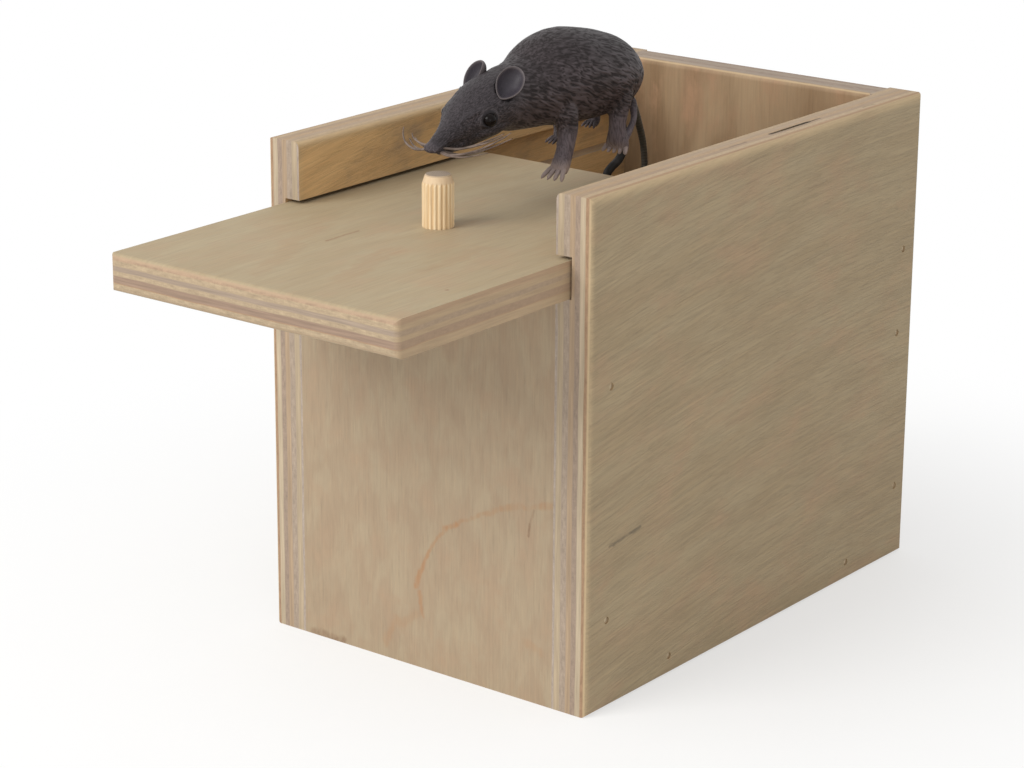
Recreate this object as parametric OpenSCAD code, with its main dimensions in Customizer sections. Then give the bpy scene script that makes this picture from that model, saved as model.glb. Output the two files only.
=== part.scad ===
// Plywood surprise box with a sliding lid and a sprung rubber mouse.
// The box stands on z = 0, centred on the origin. The lid opens towards -Y.

/* [Box] */
// Outside width, left to right
box_w = 108; // [90:1:160]
// Outside length, front to back
box_l = 160; // [150:1:200]
// Height of the side boards
box_h = 140; // [136:1:160]
// Plywood thickness of every board of the box
ply_t = 11; // [9:0.5:14]
// Radius of the sanded outer edges
edge_r = 1.6; // [0.5:0.1:2.5]
// Height of the side board above the lid groove
lip_h = 16; // [12:0.5:20]

/* [Lid] */
// Plywood thickness of the lid
lid_t = 10; // [8:0.5:12]
// Gap between the closed lid and the back panel
lid_end_gap = 3; // [1:0.5:6]
// How far the open lid sticks out in front of the box
lid_out = 67; // [60:1:70]
// Depth of the groove in each side board
groove_depth = 5; // [3:0.5:6]
// Gap between the lid's long edge and the bottom of the groove
lid_side_gap = 0.7; // [0.3:0.1:1.2]
// Gap between the lid's top face and the roof of the groove
lid_top_gap = 1; // [0.3:0.1:1.5]
// Gap between the lid's underside and the front panel
lid_under_gap = 0.1; // [0.05:0.05:0.5]

/* [Knob] */
// Diameter of the fluted dowel pin over its ridges
knob_d = 8.5; // [6:0.5:12]
// Height of the knob above the lid
knob_h = 14; // [8:1:20]
// Number of flutes round the dowel pin
knob_flutes = 20; // [12:1:28]
// Height of the taper at the dowel pin's top
knob_taper_h = 2.6; // [1:0.2:4]
// What the taper takes off the dowel pin's radius
knob_taper = 0.75; // [0.3:0.05:1.2]
// Depth of the glued end of the dowel pin in the lid
knob_sunk = 6; // [4:0.5:7]

/* [Lid stop] */
// Diameter of the stop peg under the lid
peg_d = 6; // [4:0.5:8]
// Length of the peg below the lid
peg_drop = 8; // [5:0.5:12]
// Distance of the peg from the left side board
peg_inset = 13; // [6:1:25]

/* [Nails] */
// Shank diameter of the nails
nail_d = 1.3; // [1:0.1:1.6]
// Length of the nails
nail_l = 24; // [18:1:30]
// Head diameter of the nails
nail_head_d = 2; // [1.6:0.1:2.4]
// Depth of the nail heads below the face of the board
nail_sunk = 0.5; // [0.3:0.1:1]

/* [Swing] */
// Distance of the pivot rod in front of the open lid's rear edge
pivot_ahead = 32; // [31.5:0.5:33]
// Distance of the pivot rod below the lid
pivot_drop = 41; // [40:0.5:42]
// Diameter of the pivot rod
rod_d = 4; // [3:0.5:5]
// Depth of the rod's ends in the side boards
rod_sunk = 5; // [3:0.5:7]
// Diameter of the spring wire
wire_d = 1.6; // [1.2:0.1:2]
// Outside diameter of the black sleeve on the wire
sleeve_d = 2.4; // [2:0.1:3]
// Radial clearance of the wire's eye on the rod
eye_clearance = 0.06; // [0.03:0.01:0.1]
// Gap between the sleeve and the lid's rear edge
stop_gap = 0.3; // [0.2:0.1:0.8]
// Turns of the torsion spring
spring_turns = 6; // [3:1:9]
// Wire diameter of the torsion spring
spring_wire_d = 1.2; // [0.8:0.1:1.4]

/* [Mouse] */
// Distance of the nose in front of the open lid's rear edge
nose_ahead = 77.2; // [76:0.2:78]
// Height of the mouse's datum line above the lid
mouse_lift = 30; // [29:0.5:31]
// Distance of each leg from the mouse's centre plane
leg_spread = 9.5; // [8:0.5:11]
// Diameter of each eye
eye_d = 3.8; // [3:0.2:5]
// Diameter of each ear
ear_d = 9.6; // [7:0.2:11]
// Wall thickness of each ear
ear_wall = 1; // [0.8:0.1:1.4]
// Diameter of the whiskers at their roots
whisker_d = 1.1; // [0.8:0.1:1.4]
// Diameter of the tail at its root
tail_d = 2.6; // [2:0.1:3.4]

/* [Hidden] */
$fn = 48;
eps = 0.01;

inner_w = box_w - 2 * ply_t;
front_y = -box_l / 2;
inner_front_y = front_y + ply_t;
inner_back_y = box_l / 2 - ply_t;

// The lid and its groove
groove_top = box_h - lip_h;
lid_top = groove_top - lid_top_gap;
lid_under = lid_top - lid_t;
groove_floor = lid_under - lid_under_gap;
lid_w = inner_w + 2 * (groove_depth - lid_side_gap);
lid_l = box_l - ply_t - lid_end_gap;
lid_front_y = front_y - lid_out;
lid_rear_y = lid_front_y + lid_l;
front_panel_h = groove_floor;
knob_y = lid_front_y + lid_l / 2;
flute_depth = 0.3;
flute_r = 0.55;
knob_rim = 0.3;
peg_gap = 0.2;
peg_sunk = 5;
peg_y = inner_front_y + peg_d / 2 + peg_gap;

// The nails, each [distance from the front or back end of the box, height]
nail_head_h = 1;
top_front_nail_drop = 24;
top_back_nail_drop = 45;
front_nail_places = [[9, 25], [9.5, front_panel_h - top_front_nail_drop]];
back_nail_places = [[6, 22], [8.5, box_h / 2], [7, box_h - top_back_nail_drop]];
bottom_nail_insets = [38, 32];

// A gap in one core layer, open at the right board's top edge
core_gap_l = 26;
core_gap_w = 0.8;
core_gap_depth = 2.5;
core_gap_back = 99;
core_gap_in = 5;

// The swing
pivot_y = lid_rear_y - pivot_ahead;
pivot_z = lid_under - pivot_drop;
eye_r = rod_d / 2 + eye_clearance + wire_d / 2;
wire_y = lid_rear_y + stop_gap + sleeve_d / 2;
wire_sides = 8;
spring_gap = 0.5;
spring_r = rod_d / 2 + spring_wire_d / 2 + spring_gap;
spring_pitch = spring_wire_d + spring_gap;
spring_start = wire_d / 2 + spring_wire_d / 2 + 0.6;
staple_drop = 16;
staple_z = pivot_z - staple_drop;
staple_d = 1;
staple_depth = 6;
staple_play = 0.1;
spring_leg_y = inner_front_y + spring_wire_d / 2 + staple_play;
staple_reach = spring_wire_d + 2 * staple_play + staple_d / 2;
staple_w = spring_wire_d + 2 * staple_play + 2 * staple_d;
spring_end_angle = 360 * spring_turns + 90;
staple_x = spring_start + spring_pitch * spring_end_angle / 360;

// The spring's route: the coil, then the fixed leg, whose points are [y from its line, z from the staple]
spring_step = 45;
spring_leg_bend = 3;
spring_leg_points = [[4, 9], [0.8, 6], [0, 3], [0, -4]];
spring_route = concat(
    [for (a = [0 : spring_step : spring_end_angle])
        [spring_start + spring_pitch * a / 360, pivot_y - spring_r * sin(a), pivot_z + spring_r * cos(a)]],
    [[staple_x, pivot_y - spring_r - spring_leg_bend, pivot_z - spring_r]],
    [for (p = spring_leg_points) [staple_x, spring_leg_y + p[0], staple_z + p[1]]]
);
spring_half_turn = 180 / spring_step;
spring_own_gap = min([
    for (i = [0 : len(spring_route) - 1], j = [i + spring_half_turn : 1 : len(spring_route) - 1])
        norm(spring_route[j] - spring_route[i])
]) - spring_wire_d;
echo(str("least gap of the torsion spring to itself: ", spring_own_gap, " mm"));

// The lift wire from the pivot rod to the inside of the mouse: [y, z]
wire_lead = 6;
wire_bend_drop = 1.4;
wire_bends = [[1.8, 1], [5.5, 2.7], [7.7, 5.4], [7.8, 9.5], [6.3, 15], [5.5, 26]];
wire_route = concat(
    [
        [pivot_y + eye_r * 0.6, pivot_z + eye_r * 0.8],
        [wire_y, lid_under - wire_lead], [wire_y, lid_under], [wire_y, lid_top - wire_bend_drop]
    ],
    [for (b = wire_bends) [wire_y + b[0], lid_top + b[1]]]
);

// The mouse's own stations run along its length from the nose: [x, y, z, half width, half height].
// z counts from the datum line through the thick of the body.
mouse_y = lid_rear_y - nose_ahead;
mouse_z = lid_top + mouse_lift;
mouse_sides = 18;

body_stations = [
    [0, 23, -1.2, 4, 4], [0, 26, -1.1, 6.4, 6.4], [0, 30.5, -0.9, 8, 8], [0, 36, -0.8, 9.2, 9.2],
    [0, 42, 0.4, 10.8, 11.1], [0, 48, 1.6, 12, 12.8], [0, 55, 1.6, 12.7, 13.3], [0, 62, 0.8, 12.9, 12.9],
    [0, 70, -0.2, 12.4, 12.1], [0, 77, -1.3, 11.1, 10.8], [0, 83, -2.9, 8.8, 8.4], [0, 86.5, -4.3, 5.6, 5.3],
    [0, 88, -5, 1.2, 1.2]
];
head_stations = [
    [0, 0, -8.9, 0.6, 0.6], [0, 0.7, -8.8, 1.4, 1.3], [0, 3.2, -8.2, 2, 2.1], [0, 7.2, -6.8, 2.9, 3.1],
    [0, 11.2, -5, 4.4, 4.4], [0, 15.7, -3.2, 6.4, 5.9], [0, 21, -1.8, 7.9, 7.2], [0, 26.5, -1, 8.5, 8],
    [0, 31, -0.6, 8.2, 7.8], [0, 34, -0.4, 4, 4]
];
tail_route = [
    [86.2, -7], [90, -11], [93.8, -18.5], [96.4, -26], [97.2, -35], [96.8, -46], [94.5, -56], [90, -63]
];
tail_taper = 0.45;

// Legs, each as it stands on the +X side: [x from leg_spread, y, z, half thickness across, half thickness along].
// The left pair is drawn up under the belly, behind the right pair.
front_right_leg_stations = [
    [-1.5, 46, -6, 4, 4.8], [-0.5, 47.4, -10, 3.2, 3.8], [0, 46.4, -14, 2.7, 3.1],
    [0.1, 45.2, -17.5, 2.4, 2.6], [0, 44.2, -20, 2.6, 2.1], [0, 43.2, -21.8, 2.8, 1.4]
];
front_left_leg_stations = [
    [-2, 61, -5, 3.4, 3.8], [-2.9, 63, -10, 2.6, 2.8], [-4.1, 62.6, -13.5, 2.1, 2.3],
    [-5.3, 61, -16, 1.9, 1.9], [-6.1, 59.4, -17.6, 2.1, 1.4]
];
rear_right_leg_stations = [
    [-1, 72.5, -6, 4, 4.8], [0, 72.2, -10, 3, 3.4], [0.1, 71.8, -13.5, 2.3, 2.6],
    [0, 72, -16.5, 2.5, 2.6], [-0.2, 72.2, -18.8, 3.2, 2.2], [-0.3, 72, -20.6, 3.4, 1.4]
];
rear_left_leg_stations = [
    [-1, 75, -5, 3.6, 4.2], [-2.1, 79, -10, 2.3, 2.6], [-3.3, 80.8, -13.5, 1.7, 1.8],
    [-4.1, 80, -15.8, 1.8, 1.4], [-4.1, 78.6, -17, 1.9, 1]
];
heel_stations = [
    [-4, 83, -9, 1.5, 1.5], [-1.4, 81.5, -13, 1.1, 1.2], [-0.8, 79, -16, 1.1, 1.2], [-0.5, 75, -18.5, 1.5, 1.5]
];
toe_count = 4;
front_toe_reach = 3.4;
rear_toe_reach = 3;

eye_place = [6.9, 16.9, -3];
right_ear_place = [7.4, 25.2, 5.5];
right_ear_turn = [62, 0, 42];
left_ear_place = [-5.9, 26.4, 5.2];
left_ear_turn = [66, 0, -16];
whisker_roots = [[1.4, 2.6, -8.6], [1.4, 3.2, -9.2], [1.4, 4.2, -9]];
whisker_ends = [[13.5, 4.2, -6.6], [15.5, 16, -6], [14.5, 18.5, -8]];
whisker_bows = [[9, 1.4, -10.2], [8.5, 4, -11.4], [8, 7, -11.8]];

// ---------- helpers ----------
function unit(v) = v / norm(v);
function tangent(p, i) = unit(p[min(i + 1, len(p) - 1)] - p[max(i - 1, 0)]);
function curve(a, b, c, d, t) =
    0.5 * (2 * b + (c - a) * t + (2 * a - 5 * b + 4 * c - d) * t * t + (3 * b - a - 3 * c + d) * t * t * t);
function smooth(s, steps) = concat(
    [for (i = [0 : len(s) - 2], k = [0 : steps - 1])
        curve(s[max(i - 1, 0)], s[i], s[i + 1], s[min(i + 2, len(s) - 1)], k / steps)],
    [s[len(s) - 1]]
);
function spread_stations(s) = [for (p = s) [p[0] + leg_spread, p[1], p[2], p[3], p[4]]];

// A closed form through rings of points. Each station is [x, y, z, radius along ref, radius across it].
module loft(stations, ref = [1, 0, 0], sides = mouse_sides) {
    path = [for (s = stations) [s[0], s[1], s[2]]];
    rings = len(path);
    ring_points = [
        for (i = [0 : rings - 1])
            let (t = tangent(path, i), u = unit(ref - (ref * t) * t), v = cross(t, u))
            for (k = [0 : sides - 1])
                let (a = 360 * k / sides)
                path[i] + u * stations[i][3] * cos(a) + v * stations[i][4] * sin(a)
    ];
    first = rings * sides;
    walls = [
        for (i = [0 : rings - 2], k = [0 : sides - 1])
            let (a = i * sides + k, b = i * sides + (k + 1) % sides)
            each [[a, a + sides, b], [b, a + sides, b + sides]]
    ];
    caps = [
        for (k = [0 : sides - 1])
            let (m = (k + 1) % sides, last = (rings - 1) * sides)
            each [[first, k, m], [first + 1, last + m, last + k]]
    ];
    polyhedron(concat(ring_points, [path[0], path[rings - 1]]), concat(walls, caps), convexity = 6);
}

// What a sanded edge loses: a bar along +Z at the corner of two faces that look along +X and +Y
module edge_loss(length) {
    translate([-edge_r, -edge_r, -eps])
        difference() {
            cube([edge_r + 1, edge_r + 1, length + 2 * eps]);
            translate([0, 0, -1]) cylinder(r = edge_r, h = length + 2);
        }
}

// The same bar along +Y, at the corner of two faces that look along +X and +Z
module top_edge_loss(length) {
    translate([0, length, 0]) rotate([90, 0, 0]) edge_loss(length);
}

// The same bar along +X, at the corner of two faces that look along +Y and +Z
module cross_edge_loss(length) {
    rotate([90, 0, 90]) edge_loss(length);
}

module nail() {
    translate([0, 0, -nail_l]) cylinder(d = nail_d, h = nail_l - nail_head_h);
    translate([0, 0, -nail_head_h - eps]) cylinder(d = nail_head_d, h = nail_head_h + eps);
}

// Places a nail head in the side board on the side that has the sign of side. place is [y, z].
module at_nail(side, place) {
    translate([side * (box_w / 2 - nail_sunk), place[0], place[1]]) rotate([0, side * 90, 0]) children();
}

module nail_pairs(places) {
    color([0.45, 0.43, 0.42])
        for (side = [-1, 1], place = places) at_nail(side, place) nail();
}

// ---------- box ----------
module side_board_blank() {
    translate([inner_w / 2, front_y, 0]) cube([ply_t, box_l, box_h]);
}

module side_board_cuts() {
    // groove for the lid, open at the front
    translate([inner_w / 2 - 1, front_y - 1, groove_floor])
        cube([groove_depth + 1, inner_back_y - front_y + 1, groove_top - groove_floor]);
    // sanded edges
    translate([box_w / 2, front_y - 1, box_h]) top_edge_loss(box_l + 2);
    translate([inner_w / 2, front_y - 1, box_h]) mirror([1, 0, 0]) top_edge_loss(inner_back_y - front_y + 1);
    translate([box_w / 2, front_y - 1, 0]) mirror([0, 0, 1]) top_edge_loss(box_l + 2);
    translate([box_w / 2, box_l / 2, 0]) edge_loss(box_h);
    translate([box_w / 2, front_y, 0]) mirror([0, 1, 0]) edge_loss(box_h);
    // socket for the pivot rod
    translate([inner_w / 2 - 1, pivot_y, pivot_z]) rotate([0, 90, 0]) cylinder(d = rod_d, h = rod_sunk + 1);
    // dents over the nail heads
    for (place = nail_places()) at_nail(1, place) cylinder(d = nail_head_d, h = nail_sunk + 1);
}

module side_board() {
    difference() {
        side_board_blank();
        side_board_cuts();
        nail_pairs(nail_places());
    }
}

module left_side_board() {
    color([0.72, 0.62, 0.48]) mirror([1, 0, 0]) side_board();
}

// The right board also shows a short gap in one of its core layers
module right_side_board() {
    color([0.70, 0.61, 0.46])
        difference() {
            side_board();
            translate([box_w / 2 - core_gap_in, front_y + core_gap_back, box_h - core_gap_depth])
                linear_extrude(core_gap_depth + 1)
                    polygon([
                        [0, -core_gap_l / 2],
                        [core_gap_w / 2, -core_gap_l / 4], [core_gap_w / 2, core_gap_l / 6],
                        [core_gap_w / 8, core_gap_l / 2],
                        [-core_gap_w / 2, core_gap_l / 6], [-core_gap_w / 2, -core_gap_l / 4]
                    ]);
        }
}

module front_panel() {
    color([0.73, 0.64, 0.52])
        difference() {
            translate([-inner_w / 2, front_y, 0]) cube([inner_w, ply_t, front_panel_h]);
            front_nails();
            spring_staple();
        }
}

module back_panel() {
    color([0.68, 0.56, 0.42])
        difference() {
            translate([-inner_w / 2, inner_back_y, 0]) cube([inner_w, ply_t, box_h]);
            translate([-inner_w / 2 - 1, box_l / 2, box_h]) cross_edge_loss(inner_w + 2);
            translate([-inner_w / 2 - 1, inner_back_y, box_h]) mirror([0, 1, 0]) cross_edge_loss(inner_w + 2);
            translate([-inner_w / 2 - 1, box_l / 2, 0]) mirror([0, 0, 1]) cross_edge_loss(inner_w + 2);
            back_nails();
        }
}

module bottom_panel() {
    color([0.66, 0.55, 0.42])
        difference() {
            translate([-inner_w / 2, inner_front_y, 0]) cube([inner_w, inner_back_y - inner_front_y, ply_t]);
            bottom_nails();
        }
}

function front_nail_yz() = [for (p = front_nail_places) [front_y + p[0], p[1]]];
function back_nail_yz() = [for (p = back_nail_places) [box_l / 2 - p[0], p[1]]];
function bottom_nail_yz() =
    [[front_y + bottom_nail_insets[0], ply_t / 2], [box_l / 2 - bottom_nail_insets[1], ply_t / 2]];
function nail_places() = concat(front_nail_yz(), back_nail_yz(), bottom_nail_yz());

module front_nails() {
    nail_pairs(front_nail_yz());
}

module back_nails() {
    nail_pairs(back_nail_yz());
}

module bottom_nails() {
    nail_pairs(bottom_nail_yz());
}

// ---------- lid ----------
module lid_blank() {
    translate([-lid_w / 2, lid_front_y, lid_under]) cube([lid_w, lid_l, lid_t]);
}

module lid() {
    color([0.74, 0.66, 0.50])
        difference() {
            lid_blank();
            // front edge, sanded above, below and at both corners
            translate([-lid_w / 2 - 1, lid_front_y, lid_top]) mirror([0, 1, 0]) cross_edge_loss(lid_w + 2);
            translate([-lid_w / 2 - 1, lid_front_y, lid_under])
                mirror([0, 0, 1]) mirror([0, 1, 0]) cross_edge_loss(lid_w + 2);
            for (side = [0, 1])
                mirror([side, 0, 0])
                    translate([lid_w / 2, lid_front_y, lid_under]) mirror([0, 1, 0]) edge_loss(lid_t);
            // glued sockets of the knob and the stop peg
            translate([0, knob_y, lid_top - knob_sunk]) cylinder(d = knob_d, h = knob_sunk + 1);
            translate([peg_inset - inner_w / 2, peg_y, lid_under - 1]) cylinder(d = peg_d, h = peg_sunk + 1);
        }
}

module lid_knob() {
    color([0.86, 0.77, 0.60])
        translate([0, knob_y, lid_top - knob_sunk])
            intersection() {
                difference() {
                    cylinder(d = knob_d, h = knob_sunk + knob_h);
                    for (k = [0 : knob_flutes - 1])
                        rotate(360 * k / knob_flutes)
                            translate([knob_d / 2 - flute_depth + flute_r, 0, -1])
                                cylinder(r = flute_r, h = knob_sunk + knob_h + 2, $fn = 16);
                }
                rotate_extrude()
                    polygon([
                        [0, 0], [knob_d / 2 - knob_taper, 0], [knob_d / 2, knob_taper],
                        [knob_d / 2, knob_sunk + knob_h - knob_taper_h],
                        [knob_d / 2 - knob_taper, knob_sunk + knob_h - knob_rim],
                        [knob_d / 2 - knob_taper - knob_rim, knob_sunk + knob_h], [0, knob_sunk + knob_h]
                    ]);
            }
}

module lid_stop_peg() {
    color([0.82, 0.72, 0.55])
        translate([peg_inset - inner_w / 2, peg_y, lid_under - peg_drop])
            cylinder(d = peg_d, h = peg_drop + peg_sunk);
}

// ---------- swing ----------
module pivot_rod() {
    color([0.62, 0.62, 0.64])
        translate([-inner_w / 2 - rod_sunk, pivot_y, pivot_z])
            rotate([0, 90, 0]) cylinder(d = rod_d, h = inner_w + 2 * rod_sunk);
}

// Loose coil beside the wire's eye; its fixed leg runs forward and down under the staple in the front panel
module torsion_spring() {
    color([0.55, 0.55, 0.57])
        loft([for (p = spring_route) concat(p, [spring_wire_d / 2, spring_wire_d / 2])], sides = 6);
}

// Staple in the inner face of the front panel, over the end of the spring's fixed leg
module spring_staple() {
    color([0.60, 0.60, 0.62])
        translate([staple_x, inner_front_y, staple_z]) {
            for (side = [-1, 1])
                translate([side * (staple_w - staple_d) / 2, -staple_depth, 0])
                    rotate([-90, 0, 0]) cylinder(d = staple_d, h = staple_depth + staple_reach);
            translate([-staple_w / 2, staple_reach, 0]) rotate([0, 90, 0]) cylinder(d = staple_d, h = staple_w);
        }
}

function wire_stations(from, to, d) =
    smooth([for (i = [from : to]) [0, wire_route[i][0], wire_route[i][1], d / 2, d / 2]], 3);

module wire_form() {
    loft(wire_stations(0, len(wire_route) - 1, wire_d), sides = wire_sides);
}

module sleeve_form() {
    loft(wire_stations(1, len(wire_route) - 2, sleeve_d), sides = wire_sides);
}

module lift_wire() {
    color([0.50, 0.50, 0.52]) {
        translate([0, pivot_y, pivot_z])
            rotate([0, 90, 0]) rotate_extrude() translate([eye_r, 0]) circle(d = wire_d, $fn = 24);
        wire_form();
    }
}

module wire_sleeve() {
    color([0.12, 0.12, 0.13])
        difference() {
            sleeve_form();
            wire_form();
        }
}

// ---------- mouse ----------
module at_mouse() {
    translate([0, mouse_y, mouse_z]) children();
}

module body_form() {
    at_mouse() loft(smooth(body_stations, 2));
}

module head_form() {
    at_mouse() loft(smooth(head_stations, 2));
}

module mouse_body() {
    color([0.24, 0.22, 0.22])
        difference() {
            body_form();
            sleeve_form();
            wire_form();
        }
}

module mouse_head() {
    color([0.29, 0.27, 0.28])
        difference() {
            head_form();
            body_form();
            for (side = [0, 1]) mirror([side, 0, 0]) eye();
        }
}

// A shallow round cup on a short neck
module ear(place, turn) {
    color([0.34, 0.31, 0.33])
        difference() {
            at_mouse()
                translate(place)
                    rotate(turn) {
                        rotate_extrude()
                            polygon([
                                [0, -ear_wall], [ear_d * 0.3, -ear_wall * 0.8], [ear_d / 2, ear_wall * 0.4],
                                [ear_d / 2, ear_wall], [ear_d / 2 - ear_wall * 0.6, ear_wall],
                                [ear_d * 0.28, 0], [0, 0]
                            ]);
                        rotate([90, 0, 0]) cylinder(d1 = 3, d2 = 3.6, h = ear_d / 2 + 1);
                    }
            body_form();
            head_form();
        }
}

module right_ear() {
    ear(right_ear_place, right_ear_turn);
}

module left_ear() {
    ear(left_ear_place, left_ear_turn);
}

module eye() {
    color([0.03, 0.03, 0.035]) at_mouse() translate(eye_place) sphere(d = eye_d);
}

module right_eye() {
    eye();
}

module left_eye() {
    mirror([1, 0, 0]) eye();
}

// Three whiskers, each bowed forward and then swept back
module whiskers() {
    color([0.55, 0.47, 0.46])
        difference() {
            at_mouse()
                for (i = [0 : len(whisker_roots) - 1])
                    loft(smooth([
                        concat(whisker_roots[i], [whisker_d / 2, whisker_d / 2]),
                        concat(whisker_bows[i], [whisker_d * 0.42, whisker_d * 0.42]),
                        concat(whisker_ends[i], [whisker_d * 0.22, whisker_d * 0.22])
                    ], 3), ref = [0, 0, 1], sides = 6);
            head_form();
        }
}

module right_whiskers() {
    whiskers();
}

module left_whiskers() {
    mirror([1, 0, 0]) whiskers();
}

// Short tapered toes, fanned out from the end of a paw
module toes(place, reach) {
    for (k = [0 : toe_count - 1])
        let (spread = (k - (toe_count - 1) / 2) * 22)
        translate(place)
            rotate([0, 0, 90 + spread * 1.2]) rotate([0, 0, 180]) rotate([0, 62, 0])
                cylinder(r1 = 1, r2 = 0.55, h = reach, $fn = 8);
}

module leg(stations, toe_reach) {
    last = stations[len(stations) - 1];
    color([0.33, 0.30, 0.32])
        difference() {
            at_mouse() {
                loft(smooth(stations, 2), sides = 10);
                toes([last[0], last[1] - 0.2, last[2] + 0.8], toe_reach);
                children();
            }
            body_form();
        }
}

module front_right_leg() {
    leg(spread_stations(front_right_leg_stations), front_toe_reach);
}

module front_left_leg() {
    mirror([1, 0, 0]) leg(spread_stations(front_left_leg_stations), front_toe_reach);
}

// The right rear leg also has the thin strand that runs from the rump to the heel
module rear_right_leg() {
    leg(spread_stations(rear_right_leg_stations), rear_toe_reach)
        loft(smooth(spread_stations(heel_stations), 2), sides = 8);
}

module rear_left_leg() {
    mirror([1, 0, 0]) leg(spread_stations(rear_left_leg_stations), rear_toe_reach);
}

function tail_radius(i) = tail_d / 2 * (1 - tail_taper * i / (len(tail_route) - 1));

module tail() {
    color([0.16, 0.15, 0.14])
        difference() {
            at_mouse()
                loft(smooth([
                    for (i = [0 : len(tail_route) - 1])
                        [0, tail_route[i][0], tail_route[i][1], tail_radius(i), tail_radius(i)]
                ], 3), sides = 8);
            body_form();
        }
}

left_side_board();
right_side_board();
front_panel();
back_panel();
bottom_panel();
front_nails();
back_nails();
bottom_nails();
pivot_rod();
torsion_spring();
spring_staple();
lid();
lid_knob();
lid_stop_peg();
lift_wire();
wire_sleeve();
mouse_body();
mouse_head();
left_ear();
right_ear();
left_eye();
right_eye();
left_whiskers();
right_whiskers();
front_left_leg();
front_right_leg();
rear_left_leg();
rear_right_leg();
tail();
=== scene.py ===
"""Looks of a plywood surprise box: open sliding lid, fluted dowel knob and a rubber mouse on a sprung wire.

Sizes are in millimetres and are turned into metres where a mesh is made. The box stands on z = 0,
centred on the origin; the lid opens towards -Y, and the mouse looks the same way.
"""

import math

import bmesh
import bpy
from mathutils import Matrix, Vector, noise


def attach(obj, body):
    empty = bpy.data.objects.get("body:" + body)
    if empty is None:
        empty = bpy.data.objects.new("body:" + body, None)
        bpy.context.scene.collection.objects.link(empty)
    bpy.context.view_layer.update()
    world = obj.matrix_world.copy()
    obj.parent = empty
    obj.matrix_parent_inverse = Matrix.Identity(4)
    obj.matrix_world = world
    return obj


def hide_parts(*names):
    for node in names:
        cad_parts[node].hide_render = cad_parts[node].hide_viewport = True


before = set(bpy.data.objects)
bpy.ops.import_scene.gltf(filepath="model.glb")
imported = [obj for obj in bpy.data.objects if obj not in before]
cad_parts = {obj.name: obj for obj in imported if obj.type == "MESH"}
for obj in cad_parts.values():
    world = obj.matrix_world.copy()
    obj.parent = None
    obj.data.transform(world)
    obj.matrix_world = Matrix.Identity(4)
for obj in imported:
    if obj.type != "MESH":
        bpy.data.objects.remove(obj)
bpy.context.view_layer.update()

MM = 0.001
TO_MM = (1000, 1000, 1000)

# Box and lid, as the solids have them
BOX_W, BOX_L, BOX_H, PLY = 108, 160, 140, 11
INNER_HALF = BOX_W / 2 - PLY
FRONT_Y = -BOX_L / 2
LID_TOP, LID_T, LID_REAR = 123, 10, -1
LID_UNDER = LID_TOP - LID_T
KNOB_Y, KNOB_D, KNOB_H = -74, 8.5, 14
PIVOT_Y, PIVOT_Z = -33, 72


# ---------- node helpers ----------
def add(tree, kind, inputs=None, **settings):
    """Adds a node. inputs maps a socket to a plain value or to another node's output."""
    node = tree.nodes.new("ShaderNode" + kind)
    for name, value in settings.items():
        setattr(node, name, value)
    for socket, value in (inputs or {}).items():
        if isinstance(value, bpy.types.NodeSocket):
            tree.links.new(value, node.inputs[socket])
        else:
            node.inputs[socket].default_value = value
    return node


def calc(tree, operation, *values, clamp=False):
    return add(tree, "Math", dict(enumerate(values)), operation=operation, use_clamp=clamp).outputs[0]


def times(tree, first, second):
    return calc(tree, "MULTIPLY", first, second)


def plus(tree, first, second):
    return calc(tree, "ADD", first, second)


def minus(tree, first, second):
    return calc(tree, "SUBTRACT", first, second)


def vector_calc(tree, operation, *values):
    node = add(tree, "VectorMath", dict(enumerate(values)), operation=operation)
    return node.outputs["Value" if operation in ("DOT_PRODUCT", "LENGTH") else "Vector"]


def blend(tree, amount, first, second, mode="MIX"):
    return add(tree, "Mix", {0: amount, 6: first, 7: second}, data_type="RGBA", blend_type=mode).outputs[2]


def fade(tree, value, low, high, to_low=0.0, to_high=1.0):
    """value from low to high becomes to_low to to_high, with soft ends."""
    node = add(tree, "MapRange", {0: value, 1: low, 2: high, 3: to_low, 4: to_high},
               interpolation_type="SMOOTHSTEP")
    return node.outputs[0]


def axes(tree, vector):
    return add(tree, "SeparateXYZ", {0: vector}).outputs


def vector(tree, x, y, z):
    return add(tree, "CombineXYZ", {0: x, 1: y, 2: z}).outputs[0]


def stretch(tree, position, scale, turn=(0, 0, 0), move=(0, 0, 0)):
    node = add(tree, "Mapping", {"Vector": position, "Scale": scale, "Rotation": turn, "Location": move})
    return node.outputs[0]


def grain_noise(tree, position, scale, detail=3.0, roughness=0.55, distortion=0.0):
    node = add(tree, "TexNoise", {
        "Vector": position, "Scale": scale, "Detail": detail, "Roughness": roughness,
        "Distortion": distortion,
    })
    return node.outputs[0]


def ramp(tree, value, stops, interpolation="LINEAR"):
    """stops are (place, colour) or (place, colour, alpha)."""
    node = add(tree, "ValToRGB", {0: value})
    node.color_ramp.interpolation = interpolation
    elements = node.color_ramp.elements
    elements.remove(elements[1])
    for number, (place, colour, *alpha) in enumerate(stops):
        element = elements[0] if number == 0 else elements.new(place)
        element.position = place
        element.color = (*colour, alpha[0] if alpha else 1)
    return node


def new_group(name, inputs, outputs):
    """A shader node group. Returns it with the sockets to build from and to."""
    group = bpy.data.node_groups.new(name, "ShaderNodeTree")
    for kind, label, value in inputs:
        socket = group.interface.new_socket(label, in_out="INPUT", socket_type="NodeSocket" + kind)
        if value is not None:
            socket.default_value = value
    for kind, label in outputs:
        group.interface.new_socket(label, in_out="OUTPUT", socket_type="NodeSocket" + kind)
    start = group.nodes.new("NodeGroupInput")
    end = group.nodes.new("NodeGroupOutput")
    return group, start.outputs, end.inputs


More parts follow.
